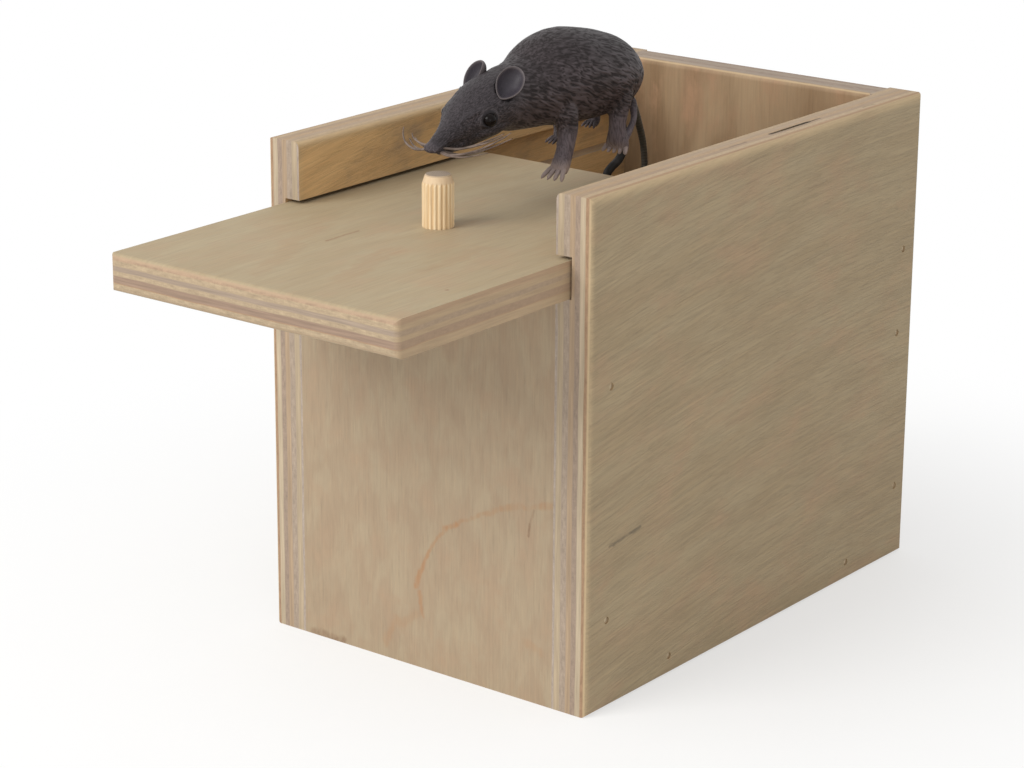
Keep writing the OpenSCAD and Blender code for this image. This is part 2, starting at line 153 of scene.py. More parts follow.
def use(tree, group, **inputs):
    """Places a node group. Underscores in the names of inputs stand for spaces."""
    node = tree.nodes.new("ShaderNodeGroup")
    node.node_tree = group
    for name, value in inputs.items():
        socket = node.inputs[name.replace("_", " ")]
        if isinstance(value, bpy.types.NodeSocket):
            tree.links.new(value, socket)
        else:
            socket.default_value = value
    return node.outputs


def new_material(name):
    """An empty material. Returns it with its node tree and its Principled shader."""
    material = bpy.data.materials.new(name)
    material.use_nodes = True
    tree = material.node_tree
    return material, tree, tree.nodes["Principled BSDF"]


def position_mm(tree):
    return vector_calc(tree, "MULTIPLY", add(tree, "TexCoord").outputs["Object"], TO_MM)


def normal_axes(tree):
    return axes(tree, add(tree, "TexCoord").outputs["Normal"])


def link_looks(tree, shader, colour, roughness, height=None, bump=0.1, specular=0.5):
    """Feeds the shader. bump is the height in millimetres that a height of 1 stands for."""
    for socket, value in (("Base Color", colour), ("Roughness", roughness)):
        if isinstance(value, bpy.types.NodeSocket):
            tree.links.new(value, shader.inputs[socket])
        else:
            shader.inputs[socket].default_value = value
    if height is not None:
        node = add(tree, "Bump", {"Height": height, "Distance": bump * MM, "Strength": 1.0})
        tree.links.new(node.outputs[0], shader.inputs["Normal"])
    shader.inputs["Specular IOR Level"].default_value = specular


# ---------- shared effects ----------
def mark_group():
    """A soft streak between two points, for checks, stain marks, pinholes and painted shade."""
    group, given, result = new_group("streak mark", [
        ("Vector", "Position", None), ("Vector", "From", None), ("Vector", "To", None),
        ("Float", "Width", 1.0), ("Float", "Wander", 0.5), ("Float", "Wander Size", 0.3),
    ], [("Float", "Mask")])
    wobble = add(group, "TexNoise", {
        "Vector": given["Position"], "Scale": given["Wander Size"], "Detail": 2.0,
    })
    shift = vector_calc(group, "SUBTRACT", wobble.outputs["Color"], (0.5, 0.5, 0.5))
    amount = add(group, "VectorMath", {0: shift, "Scale": given["Wander"]}, operation="SCALE").outputs[0]
    place = vector_calc(group, "ADD", given["Position"], amount)
    run = vector_calc(group, "SUBTRACT", given["To"], given["From"])
    away = vector_calc(group, "SUBTRACT", place, given["From"])
    along = calc(group, "DIVIDE", vector_calc(group, "DOT_PRODUCT", away, run),
                 vector_calc(group, "DOT_PRODUCT", run, run), clamp=True)
    foot = add(group, "VectorMath", {0: run, "Scale": along}, operation="SCALE").outputs[0]
    gap = vector_calc(group, "LENGTH", vector_calc(group, "SUBTRACT", away, foot))
    share = calc(group, "DIVIDE", gap, given["Width"])
    group.links.new(fade(group, share, 1.0, 0.25), result["Mask"])
    return group


def plywood_group():
    """Solid plywood. Position is in millimetres: x along the face grain, y across it, z through the plies."""
    group, given, result = new_group("solid plywood", [
        ("Vector", "Position", None), ("Float", "Facing", 0.0),
        ("Color", "Ply Colour", (0.5, 0.4, 0.3, 1)), ("Float", "Ply Turned", 0.0), ("Float", "Across", 0.0),
        ("Color", "Face Pale", (0.5, 0.4, 0.3, 1)), ("Color", "Face Deep", (0.4, 0.3, 0.2, 1)),
        ("Color", "Face Blush", (0.5, 0.35, 0.25, 1)),
        ("Color", "Worn Colour", (0.52, 0.385, 0.21, 1)), ("Float", "Rim", 0.0),
        ("Float", "Band Width", 10.0), ("Float", "Ripple", 0.3), ("Float", "Seed", 0.0),
    ], [("Color", "Colour"), ("Float", "Height"), ("Float", "Roughness")])
    seeded = vector_calc(group, "ADD", given["Position"], vector(group, given["Seed"], given["Seed"], 0.0))
    x, y, z = axes(group, seeded)

    # face veneer: broad bands, blushes, long fibres and short pores
    width = calc(group, "DIVIDE", 1.0, given["Band Width"])
    bands_at = vector(group, times(group, x, 0.16), y, times(group, z, 0.2))
    bands_at = add(group, "VectorMath", {0: bands_at, "Scale": width}, operation="SCALE").outputs[0]
    band = fade(group, grain_noise(group, bands_at, 1.5, 4.0, 0.55, 0.6), 0.30, 0.70)
    patch = grain_noise(group, stretch(group, seeded, (0.032, 0.085, 0.06)), 1.0, 4.0, 0.65)
    patch = fade(group, patch, 0.46, 0.74)
    face = blend(group, band, given["Face Pale"], given["Face Deep"])
    face = blend(group, patch, face, given["Face Blush"])
    long_fibre = grain_noise(group, stretch(group, seeded, (0.030, 0.85, 0.5)), 1.0, 4.0, 0.7)
    fine_fibre = grain_noise(group, stretch(group, seeded, (0.040, 1.7, 1.2)), 1.0, 3.0, 0.70)
    pores = grain_noise(group, stretch(group, seeded, (0.05, 1.2, 0.8)), 1.0, 2.0, 0.5)
    pores = fade(group, pores, 0.55, 0.72)
    lines_at = stretch(group, seeded, (0.034, 0.62, 0.4), turn=(0, 0, 0.04), move=(3, 5, 1))
    lines = grain_noise(group, lines_at, 1.3, 3.0, 0.6, 0.30)
    lines = fade(group, calc(group, "ABSOLUTE", minus(group, lines, 0.5)), 0.0, 0.06)
    ripple = times(group, minus(group, 1.0, lines), given["Ripple"])
    shade = plus(group, 0.740, times(group, long_fibre, 0.22))
    shade = plus(group, shade, times(group, fine_fibre, 0.32))
    crisp = times(group, minus(group, fine_fibre, 0.5),
                 times(group, given["Ripple"], 0.20))
    shade = plus(group, shade, crisp)
    shade = minus(group, shade, times(group, pores, 0.06))
    shade = minus(group, shade, times(group, ripple, 0.12))
    warm = fade(group, fine_fibre, 0.50, 0.75, 0.0, 0.45)
    warmed = vector(group, shade, minus(group, shade, times(group, warm, 0.05)),
                    minus(group, shade, times(group, warm, 0.12)))
    face = blend(group, 1.0, face, warmed, "MULTIPLY")

    # cut edges: long streaks where a ply's fibres run along the edge, short ones where they end in it
    turned = given["Ply Turned"]
    along = add(group, "Mix", {0: turned, 2: x, 3: y}, data_type="FLOAT").outputs[0]
    beside = add(group, "Mix", {0: turned, 2: y, 3: x}, data_type="FLOAT").outputs[0]
    apart = plus(group, z, times(group, turned, 40.0))
    long_streaks = grain_noise(group, vector(
        group, times(group, along, 0.035), times(group, beside, 0.25), apart,
    ), 1.7, 3.0, 0.65)
    ends = grain_noise(group, vector(
        group, times(group, along, 0.01), times(group, beside, 1.5),
        times(group, apart, 0.30),
    ), 1.5, 3.0, 0.6)
    streaks = plus(group, times(group, long_streaks, 0.78),
                   times(group, ends, 0.22))
    cut = plus(group, 0.42, times(group, streaks, 1.16))
    edge = blend(group, 1.0, given["Ply Colour"], vector(group, cut, cut, cut), "MULTIPLY")
    dull = blend(group, 1.0, edge, (1.08, 0.99, 0.87, 1), "MULTIPLY")
    dull = blend(group, 0.38, dull, (0.430, 0.326, 0.224, 1))
    edge = blend(group, given["Across"], edge, dull)

    # the rounded edges are painted paler: partly sanding wear, partly a painted highlight where they catch
    # the light
    facing = given["Facing"]
    wear_and_sheen = times(group, times(group, facing, minus(group, 1.0, facing)), 2.4)
    rim = times(group, times(group, facing, given["Rim"]),
               fade(group, long_fibre, 0.25, 0.60, 0.45, 1.0))
    colour = blend(group, facing, edge, face)
    colour = blend(group, calc(group, "MAXIMUM", wear_and_sheen, rim), colour, given["Worn Colour"])
    group.links.new(colour, result["Colour"])
    height = plus(group, times(group, long_fibre, 0.5),
                  times(group, fine_fibre, 0.6))
    height = minus(group, height, times(group, pores, 0.3))
    height = minus(group, height, times(group, ripple, 0.8))
    mixed = add(group, "Mix", {0: facing, 2: streaks, 3: height}, data_type="FLOAT").outputs[0]
    group.links.new(mixed, result["Height"])
    group.links.new(plus(group, 0.52, times(group, long_fibre, 0.22)), result["Roughness"])
    return group


def strand_group():
    """Moulded hair: short dark dashes and fine ridges along y, turned by Droop."""
    group, given, result = new_group("moulded hair", [
        ("Vector", "Position", None), ("Float", "Droop", 0.0), ("Float", "Size", 1.0),
        ("Float", "Length", 5.0),
    ], [("Float", "Groove"), ("Float", "Ridge"), ("Float", "Height")])
    turned = add(group, "VectorRotate", {"Vector": given["Position"], "Angle": given["Droop"]},
                 rotation_type="X_AXIS").outputs[0]
    bent = grain_noise(group, stretch(group, turned, (0.09, 0.09, 0.09)), 1.0, 2.0)
    bent = times(group, minus(group, bent, 0.5), 2.6)
    x, y, z = axes(group, turned)
    along = calc(group, "DIVIDE", y, given["Length"])
    sized = vector(group, plus(group, x, bent), along, plus(group, z, bent))
    sized = add(group, "VectorMath", {0: sized, "Scale": calc(group, "DIVIDE", 1.0, given["Size"])},
                operation="SCALE").outputs[0]
    strands = grain_noise(group, sized, 1.0, 0.0, 0.4, 0.1)
    second = grain_noise(group, stretch(group, sized, (1.0, 1.4, 1.0), move=(7, 2, 5)), 1.5, 0.0, 0.4, 0.1)
    fine = grain_noise(group, sized, 3.4, 2.0, 0.5, 0.1)
    dashes = times(group, fade(group, strands, 0.55, 0.70),
                  fade(group, fine, 0.30, 0.55, 0.4, 1.0))
    small = times(group, fade(group, second, 0.55, 0.70), 0.8)
    groove = calc(group, "MAXIMUM", dashes, small)
    group.links.new(groove, result["Groove"])
    ridge = times(group, fade(group, strands, 0.50, 0.34), fade(group, second, 0.62, 0.42))
    group.links.new(ridge, result["Ridge"])
    body = plus(group, times(group, strands, -1.6), times(group, second, -0.9))
    body = plus(group, body, times(group, fine, 0.5))
    group.links.new(minus(group, body, times(group, groove, 0.35)), result["Height"])
    return group


MARK = mark_group()
PLYWOOD = plywood_group()
STRANDS = strand_group()


# ---------- wood ----------
SOFT_JOINT = 0.12


def ply_stops(plies, thickness):
    """Ramp stops for plies, each (where it ends in mm, colour, turned), with soft joints between them."""
    stops, begin = [], -SOFT_JOINT
    for end, colour, turned in plies:
        stops.append(((begin + SOFT_JOINT) / thickness, colour, turned))
        stops.append(((end - SOFT_JOINT) / thickness, colour, turned))
        begin = end
    return stops


def darken_along(tree, place, colour, tint, breakup, segments):
    """Darkens colour along strokes: (from, to, width, wander, strength). breakup scales their gaps."""
    total = 0.0
    for begin, end, width, wander, strength in segments:
        mask = use(tree, MARK, Position=place, From=begin, To=end, Width=width, Wander=wander)["Mask"]
        total = calc(tree, "MAXIMUM", total, times(tree, mask, strength))
    broken = grain_noise(tree, stretch(tree, place, breakup), 1.0, 3.0, 0.6)
    broken = fade(tree, broken, 0.30, 0.62, 0.35, 1.0)
    return blend(tree, times(tree, total, broken), colour, (*tint, 1))


def on_front(strokes):
    """Strokes for stained, from (x, z, x, z, width, wander, strength) on the front panel's outer face."""
    return [((x, FRONT_Y, z), (to_x, FRONT_Y, to_z), *rest) for x, z, to_x, to_z, *rest in strokes]


def at_height(height, strokes):
    """The same on a level face, from (x, y, x, y, width, wander, strength)."""
    return [((x, y, height), (to_x, to_y, height), *rest) for x, y, to_x, to_y, *rest in strokes]


def wood_board(name, grain, across, depth, thickness, plies, pale, deep, blush,
               start=0.0, mirrored=False, inner=None, wear_and_sheen=(0.60, 0.45, 0.27), rims=(), fibre=1.0, arch=0.0,
               band=10.0, ripple=0.3, seed=0.0, dark_strokes=()):
    """Plywood of one board. grain, across and depth name its axes; the plies count from start along depth.

    A mirrored material serves two boards, and counts both ways from the middle of the box.
    inner is (pale, deep) for the face where the plies start, if it isn't like the other face.
    rims are (axis, place, width, strength) of the edges along which the face is painted pale: partly sanding
    wear, and partly a painted highlight. A larger fibre makes the fibres shorter, and arch bends them by that
    many millimetres over the length of the box."""
    material, tree, shader = new_material(name)
    place = position_mm(tree)
    sockets = dict(zip("XYZ", axes(tree, place)))
    normals = dict(zip("XYZ", normal_axes(tree)))
    through = sockets[depth]
    if mirrored:
        through = calc(tree, "ABSOLUTE", through)
    through = minus(tree, through, start)
    wave = grain_noise(tree, stretch(tree, place, (0.045, 0.045, 0.045)), 1.0, 2.0)
    uneven = plus(tree, through, times(tree, minus(tree, wave, 0.5), 0.9))
    facing = fade(tree, calc(tree, "ABSOLUTE", normals[depth]), 0.30, 0.85)
    layers = ramp(tree, calc(tree, "DIVIDE", uneven, thickness), ply_stops(plies, thickness))
    bend = calc(tree, "DIVIDE", minus(tree, BOX_L / 2, sockets[grain]), BOX_L)
    bend = times(tree, times(tree, bend, bend), arch)
    ordered = vector(tree, times(tree, sockets[grain], fibre),
                     plus(tree, sockets[across], bend), through)
    pale, deep = (*pale, 1), (*deep, 1)
    if inner:
        inside = calc(tree, "LESS_THAN", through, thickness / 2)
        pale = blend(tree, inside, pale, (*inner[0], 1))
        deep = blend(tree, inside, deep, (*inner[1], 1))
    rim = 0.0
    for axis, edge, width, strength in rims:
        gap = calc(tree, "ABSOLUTE", minus(tree, sockets[axis], edge))
        rim = calc(tree, "MAXIMUM", rim, fade(tree, gap, 0.0, width, strength, 0.0))
    board = use(tree, PLYWOOD, Position=ordered, Facing=facing, Ply_Colour=layers.outputs[0],
                Ply_Turned=layers.outputs[1], Across=calc(tree, "ABSOLUTE", normals[across]), Face_Pale=pale,
                Face_Deep=deep, Face_Blush=(*blush, 1), Worn_Colour=(*wear_and_sheen, 1), Rim=rim, Band_Width=band,
                Ripple=ripple, Seed=seed)
    colour = board["Colour"]
    for tint, breakup, segments in dark_strokes:
        colour = darken_along(tree, place, colour, tint, breakup, segments)
    link_looks(tree, shader, colour, board["Roughness"], board["Height"], bump=0.06, specular=0.30)
    return material


CREAM = (0.390, 0.308, 0.212)
PALE = (0.425, 0.344, 0.244)
TAN = (0.370, 0.270, 0.180)
GREY_PINK = (0.335, 0.265, 0.206)
LAVENDER = (0.355, 0.293, 0.245)
MAUVE = (0.300, 0.228, 0.175)
RUST = (0.320, 0.205, 0.125)
OLIVE = (0.350, 0.265, 0.165)
OAT = (0.367, 0.280, 0.184)
DUN = (0.345, 0.240, 0.160)
DUSK = (0.300, 0.232, 0.176)
UMBER = (0.273, 0.190, 0.138)

side_wood = wood_board(
    "side board plywood", "Y", "Z", "X", PLY,
    [(0.7, LAVENDER, 0), (2.5, CREAM, 1), (4.4, GREY_PINK, 0), (6.0, TAN, 1), (7.6, MAUVE, 0), (9.2, PALE, 1),
     (10.2, RUST, 0), (11, OLIVE, 0)],
    pale=(0.372, 0.292, 0.182), deep=(0.340, 0.258, 0.156), blush=(0.382, 0.270, 0.166),
    # the inner faces are much paler and warmer: partly the inner veneer's own colour, partly painted bounce
    # light
    inner=((0.71, 0.475, 0.230), (0.62, 0.40, 0.190)),
    # the rims paint the faces paler along the top and front edges: partly sanding wear, partly a painted
    # highlight
    start=INNER_HALF, mirrored=True, rims=[("Z", BOX_H, 3.2, 0.9), ("Y", FRONT_Y, 2.6, 0.3)],
    fibre=1.25, arch=14, band=14, ripple=0.75, seed=3,
    dark_strokes=[
        ((0.10, 0.085, 0.06), (1, 0.3, 1), [((54, -70, 45.4), (54, -56.5, 46.8), 0.9, 1.6, 0.60)]),
        # painted shade: the first two strokes darken the slot in the right board's top edge; the last two
        # darken short stretches of that edge
        ((0.055, 0.042, 0.028), (1, 0.1, 1), at_height(BOX_H, [
            (49, 8, 49, 27, 0.95, 0.3, 1.0),
            (49, 27, 49, 33, 0.5, 0.4, 0.8),
            (49, -16, 49.3, -4, 0.7, 1.2, 0.45),
            (51, 52, 51, 58, 0.5, 0.8, 0.35),
        ])),
    ],
)
front_wood = wood_board(
    "front panel plywood", "Z", "X", "Y", PLY,
    [(0.8, TAN, 0), (3.0, PALE, 1), (5.0, MAUVE, 0), (7.4, CREAM, 1), (9.6, GREY_PINK, 0), (11, TAN, 0)],
    pale=(0.360, 0.285, 0.194), deep=(0.328, 0.244, 0.164), blush=(0.352, 0.255, 0.170),
    start=FRONT_Y, fibre=2.4, band=9, ripple=0.05, seed=31,
    dark_strokes=[
        ((0.36, 0.17, 0.07), (0.9, 1, 0.10), on_front([
            (43, 57, 39, 55.5, 1.5, 2.0, 0.40),
            (39, 55.5, 29, 53.5, 1.3, 2.8, 0.24),
            (29, 53.5, 20.5, 49.5, 1.1, 2.4, 0.36),
            (20.5, 49.5, 11, 44.5, 1.0, 2.4, 0.36),
            (11, 44.5, 7, 42, 1.2, 1.8, 0.62),
            (7, 42, 3, 37, 0.9, 2.2, 0.44),
            (3, 37, -1.5, 28, 1.0, 2.2, 0.55),
            (-1.5, 28, -3, 23.5, 1.2, 2.0, 0.60),
            (-2, 22, -0.8, 15, 1.1, 2.4, 0.50),
            (-3, 15, -9, 11, 2.2, 4.0, 0.22),
            (-10, 12, -14, 4, 1.8, 3.0, 0.26),
            (34, 17, 39, 15, 2.0, 3.0, 0.22),
        ])),
        ((0.20, 0.12, 0.07), (0.8, 1, 0.3), on_front([
            (36.8, 54, 35.4, 50, 0.6, 0.8, 0.40),
            (35.4, 50, 35, 46.5, 0.6, 0.8, 0.75),
            (-40, 1, -31, 0.5, 1.8, 2.5, 0.55),
            (-33, 0, -29, 1, 1.7, 1.6, 0.70),
        ])),
    ],
)
back_wood = wood_board(
    "back panel plywood", "Z", "X", "Y", PLY,
    [(1.2, TAN, 0), (3.4, GREY_PINK, 1), (5.6, MAUVE, 0), (7.8, GREY_PINK, 1), (9.8, MAUVE, 0), (11, TAN, 0)],
    pale=(0.372, 0.296, 0.203), deep=(0.325, 0.242, 0.162), blush=(0.372, 0.230, 0.137),
    inner=((0.370, 0.262, 0.158), (0.236, 0.149, 0.081)),
    start=BOX_L / 2 - PLY, fibre=1.6, band=26, ripple=0.08, seed=57,
)
bottom_wood = wood_board(
    "bottom panel plywood", "Y", "X", "Z", PLY,
    [(1.2, TAN, 0), (3.4, CREAM, 1), (5.6, MAUVE, 0), (7.8, PALE, 1), (9.8, GREY_PINK, 0), (11, TAN, 0)],
    pale=(0.42, 0.32, 0.20), deep=(0.37, 0.27, 0.165), blush=(0.40, 0.28, 0.17), band=12, ripple=0.2, seed=83,
)
lid_wood = wood_board(
    "lid plywood", "Y", "X", "Z", LID_T,
    [(2.3, OAT, 0), (2.5, RUST, 0), (4.4, UMBER, 1), (5.7, OAT, 0), (7.0, DUSK, 1), (8.5, OAT, 0),
     (10, DUN, 0)],
    pale=(0.392, 0.318, 0.206), deep=(0.368, 0.287, 0.180), blush=(0.390, 0.288, 0.183),
    start=LID_UNDER, wear_and_sheen=(0.40, 0.275, 0.180), fibre=1.5, band=11, ripple=0.10, seed=11,
    dark_strokes=[
        ((0.25, 0.14, 0.08), (1, 0.5, 1), at_height(LID_TOP, [
            (-12.7, -103.7, -12.9, -91, 0.7, 0.7, 0.70),
            (40, -120, 40.1, -119.8, 0.7, 0.2, 0.95),
        ])),
        ((0.36, 0.21, 0.12), (0.25, 0.05, 1), at_height(LID_TOP, [
            (14, -128, 6, -100, 5.0, 7.0, 0.28),
            (-6, -138, -16, -112, 4.0, 7.0, 0.22),
            (26, -110, 22, -84, 4.0, 6.0, 0.24),
        ])),
    ],
)


def dowel_wood(name, centre, radius, top):
    """A fluted dowel pin: pale long grain down its sides, darker end grain on top."""
    material, tree, shader = new_material(name)
    place = position_mm(tree)
    local = vector_calc(tree, "SUBTRACT", place, centre)
    x, y, z = axes(tree, local)
    upward = normal_axes(tree)[2]
    reach = calc(tree, "SQRT", plus(tree, times(tree, x, x), times(tree, y, y)))
    flute = fade(tree, reach, radius - 0.32, radius - 0.02)
    streaks = grain_noise(tree, stretch(tree, local, (1.0, 1.0, 0.05)), 1.3, 3.0, 0.6)
    specks = grain_noise(tree, local, 3.4, 3.0, 0.6)
    rings = add(tree, "TexWave", {"Vector": stretch(tree, local, (1, 1, 0.02), move=(9, 3, 0)), "Scale": 0.55,
                                  "Distortion": 1.2, "Detail": 1.0}, wave_type="RINGS", rings_direction="Z")
    side = blend(tree, fade(tree, streaks, 0.35, 0.68), (0.84, 0.69, 0.47, 1), (0.73, 0.54, 0.32, 1))
    # painted shade: the flutes are painted darker and browner
    groove = times(tree, minus(tree, 1.0, flute), 0.60)
    side = blend(tree, groove, side, (0.56, 0.36, 0.17, 1))
    end_mix = plus(tree, times(tree, rings.outputs[1], 0.35),
                   times(tree, specks, 0.65))
    end = blend(tree, end_mix, (0.40, 0.30, 0.21, 1), (0.20, 0.15, 0.11, 1))
    band = times(tree, fade(tree, z, top - 2.3, top - 1.9), 0.45)
    side = blend(tree, band, side, (0.66, 0.52, 0.38, 1))
    colour = blend(tree, fade(tree, calc(tree, "ABSOLUTE", upward), 0.55, 0.9), side, end)
    height = plus(tree, streaks, times(tree, specks, 0.4))
    link_looks(tree, shader, colour, 0.55, height, bump=0.08, specular=0.3)
    return material


knob_wood = dowel_wood("knob dowel", (0, KNOB_Y, LID_TOP), KNOB_D / 2, KNOB_H)
# A radius past the stop peg's own gives it, all round, the darker colour that is painted shade in the knob's
# flutes; its end has no pale band
PEG_X, PEG_Y, PEG_R, PAST_END = -30, -65.7, 3, 30
peg_wood = dowel_wood("stop peg dowel", (PEG_X, PEG_Y, LID_TOP), PEG_R + 0.3, PAST_END)


# ---------- metal and rubber ----------
def steel(name, colour, stain, roughness):
    material, tree, shader = new_material(name)
    place = position_mm(tree)
    blotch = grain_noise(tree, place, 0.9, 3.0, 0.6)
    scratch = grain_noise(tree, stretch(tree, place, (0.2, 2.0, 2.0)), 2.5, 2.0)
    tint = blend(tree, fade(tree, blotch, 0.45, 0.70), (*colour, 1), (*stain, 1))
    rough = plus(tree, roughness, times(tree, scratch, 0.2))
    link_looks(tree, shader, tint, rough, scratch, bump=0.02)
    shader.inputs["Metallic"].default_value = 1.0
    return material


nail_steel = steel("nail steel", (0.60, 0.50, 0.36), (0.42, 0.33, 0.22), 0.50)
rod_steel = steel("rod steel", (0.56, 0.55, 0.54), (0.46, 0.44, 0.42), 0.22)
wire_steel = steel("spring wire steel", (0.42, 0.41, 0.40), (0.30, 0.28, 0.26), 0.26)


def plain_rubber(name, dark, pale, roughness, size, specular):
    material, tree, shader = new_material(name)
    place = position_mm(tree)
    cloud = grain_noise(tree, place, 0.35, 3.0)
    dust = grain_noise(tree, place, size, 2.0)
    tint = blend(tree, fade(tree, cloud, 0.40, 0.68), (*dark, 1), (*pale, 1))
    rough = plus(tree, roughness, times(tree, dust, 0.12))
    link_looks(tree, shader, tint, rough, dust, bump=0.03, specular=specular)
    return material


sleeve_rubber = plain_rubber(
    "wire sleeve rubber", (0.012, 0.011, 0.010), (0.028, 0.025, 0.024), 0.55, 2.5, 0.2)
whisker_rubber = plain_rubber(
    "whisker rubber", (0.115, 0.086, 0.072), (0.215, 0.163, 0.138), 0.55, 2.0, 0.3)


def fur_rubber():
    """Moulded fur. The paint attribute holds masks: red for the face, green for the legs, blue for the paws,
    and an alpha that rises from 0 at the eyes to 1 on the cheek, which places the painted shade round the
    eyes and the painted highlight on the eyelids."""
    material, tree, shader = new_material("fur rubber")
    place = position_mm(tree)
    upward = normal_axes(tree)[2]
    masks = add(tree, "Attribute", attribute_name="paint")
    face, limb, paw = add(tree, "SeparateColor", {0: masks.outputs["Color"]}).outputs
    coat = use(tree, STRANDS, Position=place, Droop=math.radians(22), Size=0.78, Length=8.5)
    short = use(tree, STRANDS, Position=place, Droop=math.radians(-16), Size=0.34, Length=5.0)
    straight = use(tree, STRANDS, Position=place, Droop=math.radians(84), Size=0.42, Length=9.0)

    def choose(name):
        body = times(tree, minus(tree, 1.0, face), coat[name])
        head = times(tree, face, times(tree, short[name], 0.80))
        body = plus(tree, body, head)
        leg = times(tree, straight[name], 0.45)
        return add(tree, "Mix", {0: limb, 2: body, 3: leg}, data_type="FLOAT").outputs[0]

    back = fade(tree, upward, 0.0, 0.85)
    groove = choose("Groove")
    flatter = minus(tree, 1.0, times(tree, back, 0.55))
    height = times(tree, choose("Height"), flatter)
    cloud = grain_noise(tree, place, 0.10, 2.0)
    fur = blend(tree, fade(tree, cloud, 0.35, 0.65), (0.043, 0.032, 0.033, 1), (0.056, 0.043, 0.046, 1))
    fur = blend(tree, back, fur, (0.027, 0.0205, 0.022, 1))
    fur = blend(tree, face, fur, (0.034, 0.0285, 0.032, 1))
    # painted sheen: the hair ridges are painted lighter and bluer, less on the back, and paler still on the
    # legs
    shine = minus(tree, 0.70, times(tree, back, 0.42))
    shine = times(tree, choose("Ridge"), shine)
    fur = blend(tree, shine, fur, (0.100, 0.081, 0.090, 1))
    fur = blend(tree, limb, fur, (0.118, 0.097, 0.110, 1))
    fur = blend(tree, paw, fur, (0.320, 0.258, 0.244, 1))
    fur = blend(tree, times(tree, shine, limb), fur, (0.210, 0.172, 0.182, 1))
    # painted highlight: a paler ring on the eyelid round each eye
    painted_eyelid_highlight = times(tree, fade(tree, masks.outputs["Alpha"], 0.25, 0.50),
                    fade(tree, masks.outputs["Alpha"], 0.98, 0.65))
    fur = blend(tree, times(tree, painted_eyelid_highlight, 0.55), fur, (0.080, 0.068, 0.073, 1))
    # painted shade: the skin in the socket round each eye is painted near black
    beside_eye = fade(tree, masks.outputs["Alpha"], 0.05, 0.40, 0.92, 0.0)
    fur = blend(tree, beside_eye, fur, (0.008, 0.006, 0.007, 1))
    # painted shade: the hair grooves are painted near black, less on the back and on the pale paws
    flank = minus(tree, 0.96, times(tree, back, 0.34))
    depth = times(tree, groove, minus(tree, flank, times(tree, paw, 0.5)))
    colour = blend(tree, depth, fur, (0.009, 0.006, 0.006, 1))
    rough = plus(tree, 0.50, times(tree, groove, 0.25))
    link_looks(tree, shader, colour, rough, height, bump=0.085, specular=0.24)
    return material


def ear_rubber():
    """Smooth thin rubber, with painted shade darker inside the cup and a painted highlight paler on the rim.
    The ring attribute runs from the inside to the back.
    """
    material, tree, shader = new_material("ear rubber")
    place = position_mm(tree)
    along = add(tree, "Attribute", attribute_name="ring").outputs["Fac"]
    cloud = grain_noise(tree, place, 0.5, 3.0)
    down = grain_noise(tree, place, 4.0, 2.0)
    # painted shade inside the cup and a painted highlight on the rolled rim
    inside = blend(tree, cloud, (0.024, 0.020, 0.026, 1), (0.052, 0.045, 0.056, 1))
    rim = blend(tree, cloud, (0.090, 0.076, 0.080, 1), (0.122, 0.102, 0.104, 1))
    tint = blend(tree, fade(tree, along, 0.38, 0.50), inside, rim)
    tint = blend(tree, fade(tree, along, 0.58, 0.72), tint, (0.050, 0.042, 0.045, 1))
    link_looks(tree, shader, tint, 0.50, down, bump=0.06, specular=0.3)
    return material


def ringed_rubber():
    """Tail skin with fine rings along its length, read from the ring attribute."""
    material, tree, shader = new_material("tail rubber")
    place = position_mm(tree)
    along = add(tree, "Attribute", attribute_name="ring").outputs["Fac"]
    wave = calc(tree, "SINE", times(tree, along, math.tau / 0.9))
    cloud = grain_noise(tree, place, 0.5, 2.0)
    tint = blend(tree, cloud, (0.034, 0.030, 0.022, 1), (0.066, 0.059, 0.045, 1))
    rings = times(tree, fade(tree, wave, -0.2, -1.0), 0.5)
    tint = blend(tree, rings, tint, (0.018, 0.015, 0.012, 1))
    link_looks(tree, shader, tint, 0.50, times(tree, wave, 0.5), bump=0.06)
    return material


def eye_gloss():
    material, tree, shader = new_material("eye gloss")
    cloud = grain_noise(tree, position_mm(tree), 0.8, 2.0)
    tint = blend(tree, cloud, (0.004, 0.003, 0.003, 1), (0.010, 0.007, 0.006, 1))
    link_looks(tree, shader, tint, 0.07, specular=0.09)
    return material


fur = fur_rubber()
ear_skin = ear_rubber()
tail_skin = ringed_rubber()
eye_black = eye_gloss()


# ---------- CAD pieces that keep their shape ----------
for names, material in (
    (("left_side_board", "right_side_board"), side_wood),
    (("front_panel",), front_wood), (("back_panel",), back_wood), (("bottom_panel",), bottom_wood),
    (("lid",), lid_wood), (("lid_knob",), knob_wood), (("lid_stop_peg",), peg_wood),
    (("front_nails", "back_nails", "bottom_nails"), nail_steel),
    (("pivot_rod",), rod_steel), (("spring_staple",), wire_steel),
):
    for name in names:
        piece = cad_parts[name]
        piece.data.materials.clear()
        piece.data.materials.append(material)


# ---------- mesh helpers ----------
def finish_piece(name, bm, material, smooth=True, levels=0):
    """Turns a bmesh in millimetres into an object in metres at the origin."""
    bmesh.ops.recalc_face_normals(bm, faces=bm.faces)
    bmesh.ops.scale(bm, vec=(MM, MM, MM), verts=bm.verts)
    mesh = bpy.data.meshes.new(name)
    bm.to_mesh(mesh)
    bm.free()
    for face in mesh.polygons:
        face.use_smooth = smooth
    mesh.materials.append(material)
    piece = bpy.data.objects.new(name, mesh)
    bpy.context.collection.objects.link(piece)
    if levels:
        modifier = piece.modifiers.new("rounding", "SUBSURF")
        modifier.levels = modifier.render_levels = levels
    return piece


